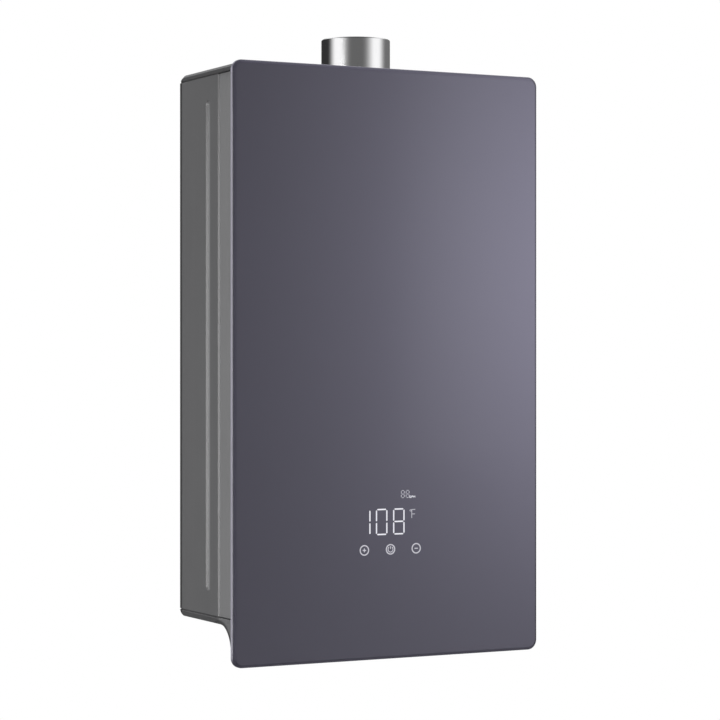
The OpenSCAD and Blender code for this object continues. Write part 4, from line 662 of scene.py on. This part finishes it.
def flow_unit():
    """The small unit letters beside the flow reading."""
    low, high = FLOW_UNIT_Z
    bars = []
    for place, letter in enumerate("GPM"):
        left = FLOW_UNIT_X + place * FLOW_UNIT_PITCH
        for x0, z0, x1, z1 in LETTERS[letter]:
            start = (left + x0 / 2 * FLOW_UNIT_W, low + z0 / 4 * (high - low))
            end = (left + x1 / 2 * FLOW_UNIT_W, low + z1 / 4 * (high - low))
            bars.append(bar(start, end, FLOW_UNIT_BAR, FLOW_UNIT_BAR / 4))
    return join(bars, "flow_unit", LIT_BRIGHT)


def touch_keys():
    """Three ring-shaped touch keys: more, on and off, less."""
    more, power, less = KEY_XS
    across = Vector((MARK_HALF, 0))
    up = Vector((0, MARK_HALF))
    tip = MARK_W / 4
    marks = [ring(x, KEY_Z, KEY_R, KEY_STROKE) for x in KEY_XS]
    marks.append(bar(Vector((more, KEY_Z)) - across, Vector((more, KEY_Z)) + across, MARK_W, tip))
    marks.append(bar(Vector((more, KEY_Z)) - up, Vector((more, KEY_Z)) + up, MARK_W, tip))
    marks.append(ring(power, KEY_Z, POWER_R, POWER_W, gap=POWER_GAP))
    marks.append(bar((power, KEY_Z + POWER_R * 0.1), (power, KEY_Z + POWER_R), POWER_W, tip))
    marks.append(bar(Vector((less, KEY_Z)) - across, Vector((less, KEY_Z)) + across, MARK_W, tip))
    return join(marks, "touch_key_marks", LIT_SOFT)


temperature()
temperature_unit()
flow_reading()
flow_unit()
touch_keys()


# Threads and screws

def pipe_thread(name, x):
    """The helical ridge of one connection's pipe thread."""
    bpy.ops.object.select_all(action="DESELECT")
    bpy.ops.mesh.primitive_circle_add(vertices=3, radius=1, fill_type="NOTHING")
    piece = bpy.context.active_object
    section = ((0, THREAD_RISE, 0, THREAD_R), (0, 0, 1, 0), (THREAD_BASE, 0, 0, 0), (0, 0, 0, 1))
    settle(piece, Matrix(section))
    turn = piece.modifiers.new("thread", "SCREW")
    turn.steps = turn.render_steps = THREAD_STEPS
    turn.screw_offset = THREAD_PITCH
    turn.iterations = THREAD_TURNS
    bpy.ops.object.modifier_apply(modifier="thread")
    bpy.ops.object.mode_set(mode="EDIT")
    bpy.ops.mesh.select_mode(type="EDGE")
    bpy.ops.mesh.select_all(action="DESELECT")
    bpy.ops.mesh.select_non_manifold()
    bpy.ops.mesh.fill_holes(sides=0)
    bpy.ops.mesh.select_all(action="SELECT")
    bpy.ops.mesh.normals_make_consistent(inside=False)
    bpy.ops.object.mode_set(mode="OBJECT")
    bpy.ops.object.shade_smooth_by_angle(angle=SOFT_ANGLE)
    settle(piece, Matrix.Translation((x, THREAD_Y, THREAD_Z)))
    return join([piece], name, FINISHES["fitting_brass"])


def face_z(piece, up):
    """Selects the faces of a piece in edit mode that look straight up, or straight down."""
    mesh = bmesh.from_edit_mesh(piece.data)
    for face in mesh.faces:
        face.select_set(face.normal.z > 0.99 if up else face.normal.z < -0.99)
    bmesh.update_edit_mesh(piece.data)


def cross_screw(head_d, head_h, shank_d, shank_len):
    """A screw with a rounded head and a cross recess; its seat is at the origin and its axis is Z."""
    bpy.ops.object.select_all(action="DESELECT")
    middle = (0, 0, head_h / 2)
    bpy.ops.mesh.primitive_cylinder_add(vertices=HEAD_SIDES, radius=head_d / 2, depth=head_h, location=middle)
    piece = bpy.context.active_object
    bpy.ops.object.transform_apply(location=True)
    bpy.ops.object.mode_set(mode="EDIT")
    bpy.ops.mesh.select_mode(type="FACE")
    face_z(piece, up=False)
    bpy.ops.mesh.inset(thickness=(head_d - shank_d) / 2)
    bpy.ops.mesh.extrude_region_move(TRANSFORM_OT_translate={"value": (0, 0, -shank_len)})
    face_z(piece, up=True)
    bpy.ops.mesh.bevel(offset=head_h * HEAD_ROUND, segments=HEAD_ROUND_STEPS, affect="EDGES")
    bpy.ops.object.mode_set(mode="OBJECT")
    long, wide, tall = RECESS_CUT
    for turn in (0.0, math.pi / 2):
        bpy.ops.object.select_all(action="DESELECT")
        bpy.ops.mesh.primitive_cube_add(size=1)
        cutter = bpy.context.active_object
        size = Matrix.Diagonal((head_d * long, head_d * wide, head_h * tall, 1))
        settle(cutter, Matrix.Translation((0, 0, head_h)) @ Matrix.Rotation(turn, 4, "Z") @ size)
        pick(piece)
        cut = piece.modifiers.new("recess", "BOOLEAN")
        cut.operation = "DIFFERENCE"
        cut.object = cutter
        bpy.ops.object.modifier_apply(modifier="recess")
        bpy.data.objects.remove(cutter)
    bpy.ops.object.shade_smooth_by_angle(angle=SOFT_ANGLE)
    return piece


def screw_set(name, node, sizes, seats):
    """A copy of one screw on each seat, in the place of a node of plain ones."""
    first = cross_screw(*sizes)
    copies = [first]
    for _ in seats[1:]:
        pick(first)
        bpy.ops.object.duplicate(linked=False)
        copies.append(bpy.context.active_object)
    for copy, seat, turn in zip(copies, seats, RECESS_TURNS):
        pick(copy)
        settle(copy, seat @ Matrix.Rotation(math.radians(turn), 4, "Z"))
    made = join(copies, name, FINISHES["screw_steel"])
    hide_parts(node)


def screws():
    """Cross-recess screws of both caps and of the flue collar."""
    over = Matrix.Rotation(math.pi, 4, "X")
    spots = [(x, y) for x in (-CAP_SCREW_X, CAP_SCREW_X) for y in CAP_SCREW_YS]
    seats = [Matrix.Translation((x, y, CAP_SCREW_Z)) for x, y in spots]
    seats += [Matrix.Translation((x, y, -CAP_SCREW_Z)) @ over for x, y in spots]
    screw_set("cap_screws_crossed", "cap_screws", CAP_SCREW, seats)
    ring_seats = []
    for quarter in range(4):
        angle = math.radians(45 + 90 * quarter)
        at = (COLLAR_SCREW_R * math.cos(angle), COLLAR_Y + COLLAR_SCREW_R * math.sin(angle), COLLAR_SCREW_Z)
        ring_seats.append(Matrix.Translation(at))
    screw_set("collar_screws_crossed", "collar_screws", COLLAR_SCREW, ring_seats)


for flow, place in THREAD_XS.items():
    pipe_thread(flow + "_thread_ridge", place)
screws()


# Stage

def look(obj, at, target):
    """Puts a light at a place and turns it to a target."""
    obj.location = at
    obj.rotation_mode = "QUATERNION"
    obj.rotation_quaternion = (Vector(target) - Vector(at)).to_track_quat("-Z", "Y")


def soft_light(name, at, target, size, power, gloss):
    """A rectangular soft light that only matt surfaces see, or with gloss only shiny ones."""
    data = bpy.data.lights.new(name, "AREA")
    data.shape = "RECTANGLE"
    data.size, data.size_y = size
    data.energy = power
    lamp = bpy.data.objects.new(name, data)
    bpy.context.scene.collection.objects.link(lamp)
    look(lamp, at, target)
    lamp.visible_camera = False
    lamp.visible_glossy = gloss
    lamp.visible_diffuse = not gloss


# What metal and glass see round the heater. Drapes: bearing from the front in degrees, half width,
# soft edge and darkness; they end at a height, and the ceiling is dark on the front's left side alone.
DRAPES = (
    (-23.5, 38.5, 24.0, 0.87),
    (203.0, 41.0, 18.0, 0.97),
    (118.0, 44.0, 20.0, 0.84),
)
DRAPE_TOP = (0.35, 0.6)
CEILING_RISE = (0.16, 0.44)
CEILING_SIDE = (-24.0, 85.0, 30.0)
CEILING_DARK = 0.96
GROUND_RISE = (-0.95, -0.1)
GROUND_LEVEL = 0.12
AMBIENT_SKY = 0.26
AMBIENT_GROUND = 0.1
AMBIENT_RISE = (-0.5, 0.5)

# Soft lights: name, place, target, size, power and whether only shiny surfaces see them
LAMPS = (
    ("right_soft", (0.275, -0.473, 0.11), (0.275, -0.143, 0.11), (0.15, 0.5), 2.45, False),
    ("left_soft", (-1.1, 0.05, -0.07), (-0.185, -0.07, -0.07), (0.5, 0.7), 6.4, False),
    ("left_strip", (-0.916, -0.402, -0.07), (-0.185, -0.077, -0.07), (0.25, 0.83), 5.3, True),
    ("top_soft", (-0.35, 0.12, 1.6), (-0.05, -0.05, 0.3), (1.2, 0.5), 36.0, False),
    ("back_soft", (1.0, 1.6, 0.6), (0.0, 0.0, 0.0), (1.2, 1.2), 60.0, False),
    ("low_soft", (0.0, -0.06, -0.8), (0.0, -0.06, -0.3), (0.4, 0.12), 1.5, False),
)


def white_room():
    """White all round for the camera, a draped studio for reflections and a soft sky for the rest."""
    world = bpy.data.worlds.new("white_room")
    bpy.context.scene.world = world
    world.use_nodes = True
    n = Nodes(world.node_tree)
    direction = n.node("ShaderNodeTexCoord", out="Generated")
    x, y, z = (n.node("ShaderNodeSeparateXYZ", sockets={"Vector": direction}, out=axis) for axis in "XYZ")
    level = x * x + y * y
    level_length = level.math("SQRT", level)

    def beside(bearing, half, soft):
        """1 within half of a bearing, falling to 0 over a soft edge."""
        turn = math.radians(bearing)
        along = (x * math.sin(turn) - y * math.cos(turn)) / level_length
        return along.ramp(math.cos(math.radians(half + soft)), math.cos(math.radians(half - soft)))

    light = 1 - z.ramp(*CEILING_RISE) * beside(*CEILING_SIDE) * CEILING_DARK
    hung = 1 - z.ramp(*DRAPE_TOP)
    for bearing, half, soft, dark in DRAPES:
        light = light * (1 - hung * beside(bearing, half, soft) * dark)
    light = light * (GROUND_LEVEL + (1 - GROUND_LEVEL) * z.ramp(*GROUND_RISE))
    sky = AMBIENT_GROUND + (AMBIENT_SKY - AMBIENT_GROUND) * z.ramp(*AMBIENT_RISE)
    seen = n.node("ShaderNodeLightPath", out="Is Camera Ray")
    clear = n.node("ShaderNodeLightPath", out="Is Transmission Ray")
    glossy = n.node("ShaderNodeLightPath", out="Is Glossy Ray")
    plain = seen.larger(clear)
    strength = plain + (1 - plain) * (glossy * light + (1 - glossy) * sky)
    n.feed(world.node_tree.nodes["Background"].inputs["Color"], (1, 1, 1, 1))
    n.feed(world.node_tree.nodes["Background"].inputs["Strength"], strength)


def pale_floor():
    """A round pale floor below the heater that fades out at its edge and is clear from below."""
    low = cad_box[0].z - FLOOR_DROP
    bpy.ops.object.select_all(action="DESELECT")
    bpy.ops.mesh.primitive_circle_add(vertices=FLOOR_SIDES, radius=FLOOR_R, fill_type="NGON",
                                      location=(0, 0, low))
    floor = bpy.context.active_object
    floor.name = "floor"
    f = Finish("pale_floor", base_color=rgb(244, 244, 244), roughness=0.9)
    spot = f.node("ShaderNodeVectorMath", {"operation": "LENGTH"}, {0: f.place}, out="Value")
    away = spot.ramp(FLOOR_FADE * FLOOR_R, FLOOR_R)
    below = f.node("ShaderNodeNewGeometry", out="Backfacing")
    camera = f.node("ShaderNodeLightPath", out="Is Camera Ray")
    clear = f.node("ShaderNodeBsdfTransparent")
    gone = away.larger(below * camera)
    mixed = f.node("ShaderNodeMixShader", sockets={0: gone, 1: Value(f, f.shader.outputs[0]), 2: clear})
    f.feed(f.tree.nodes["Material Output"].inputs["Surface"], mixed)
    floor.data.materials.append(f.material)
    floor.visible_glossy = False


white_room()
pale_floor()
for lamp in LAMPS:
    soft_light(*lamp)

camera_data = bpy.data.cameras.new("camera")
camera_data.lens = LENS
camera_data.sensor_width = SENSOR_W
camera = bpy.data.objects.new("camera", camera_data)
bpy.context.scene.collection.objects.link(camera)
camera.location = CAMERA_AT
camera.rotation_euler = (math.radians(90 + CAMERA_TILT), 0, math.radians(-CAMERA_YAW))
bpy.context.scene.camera = camera
bpy.context.scene.view_settings.view_transform = "Standard"
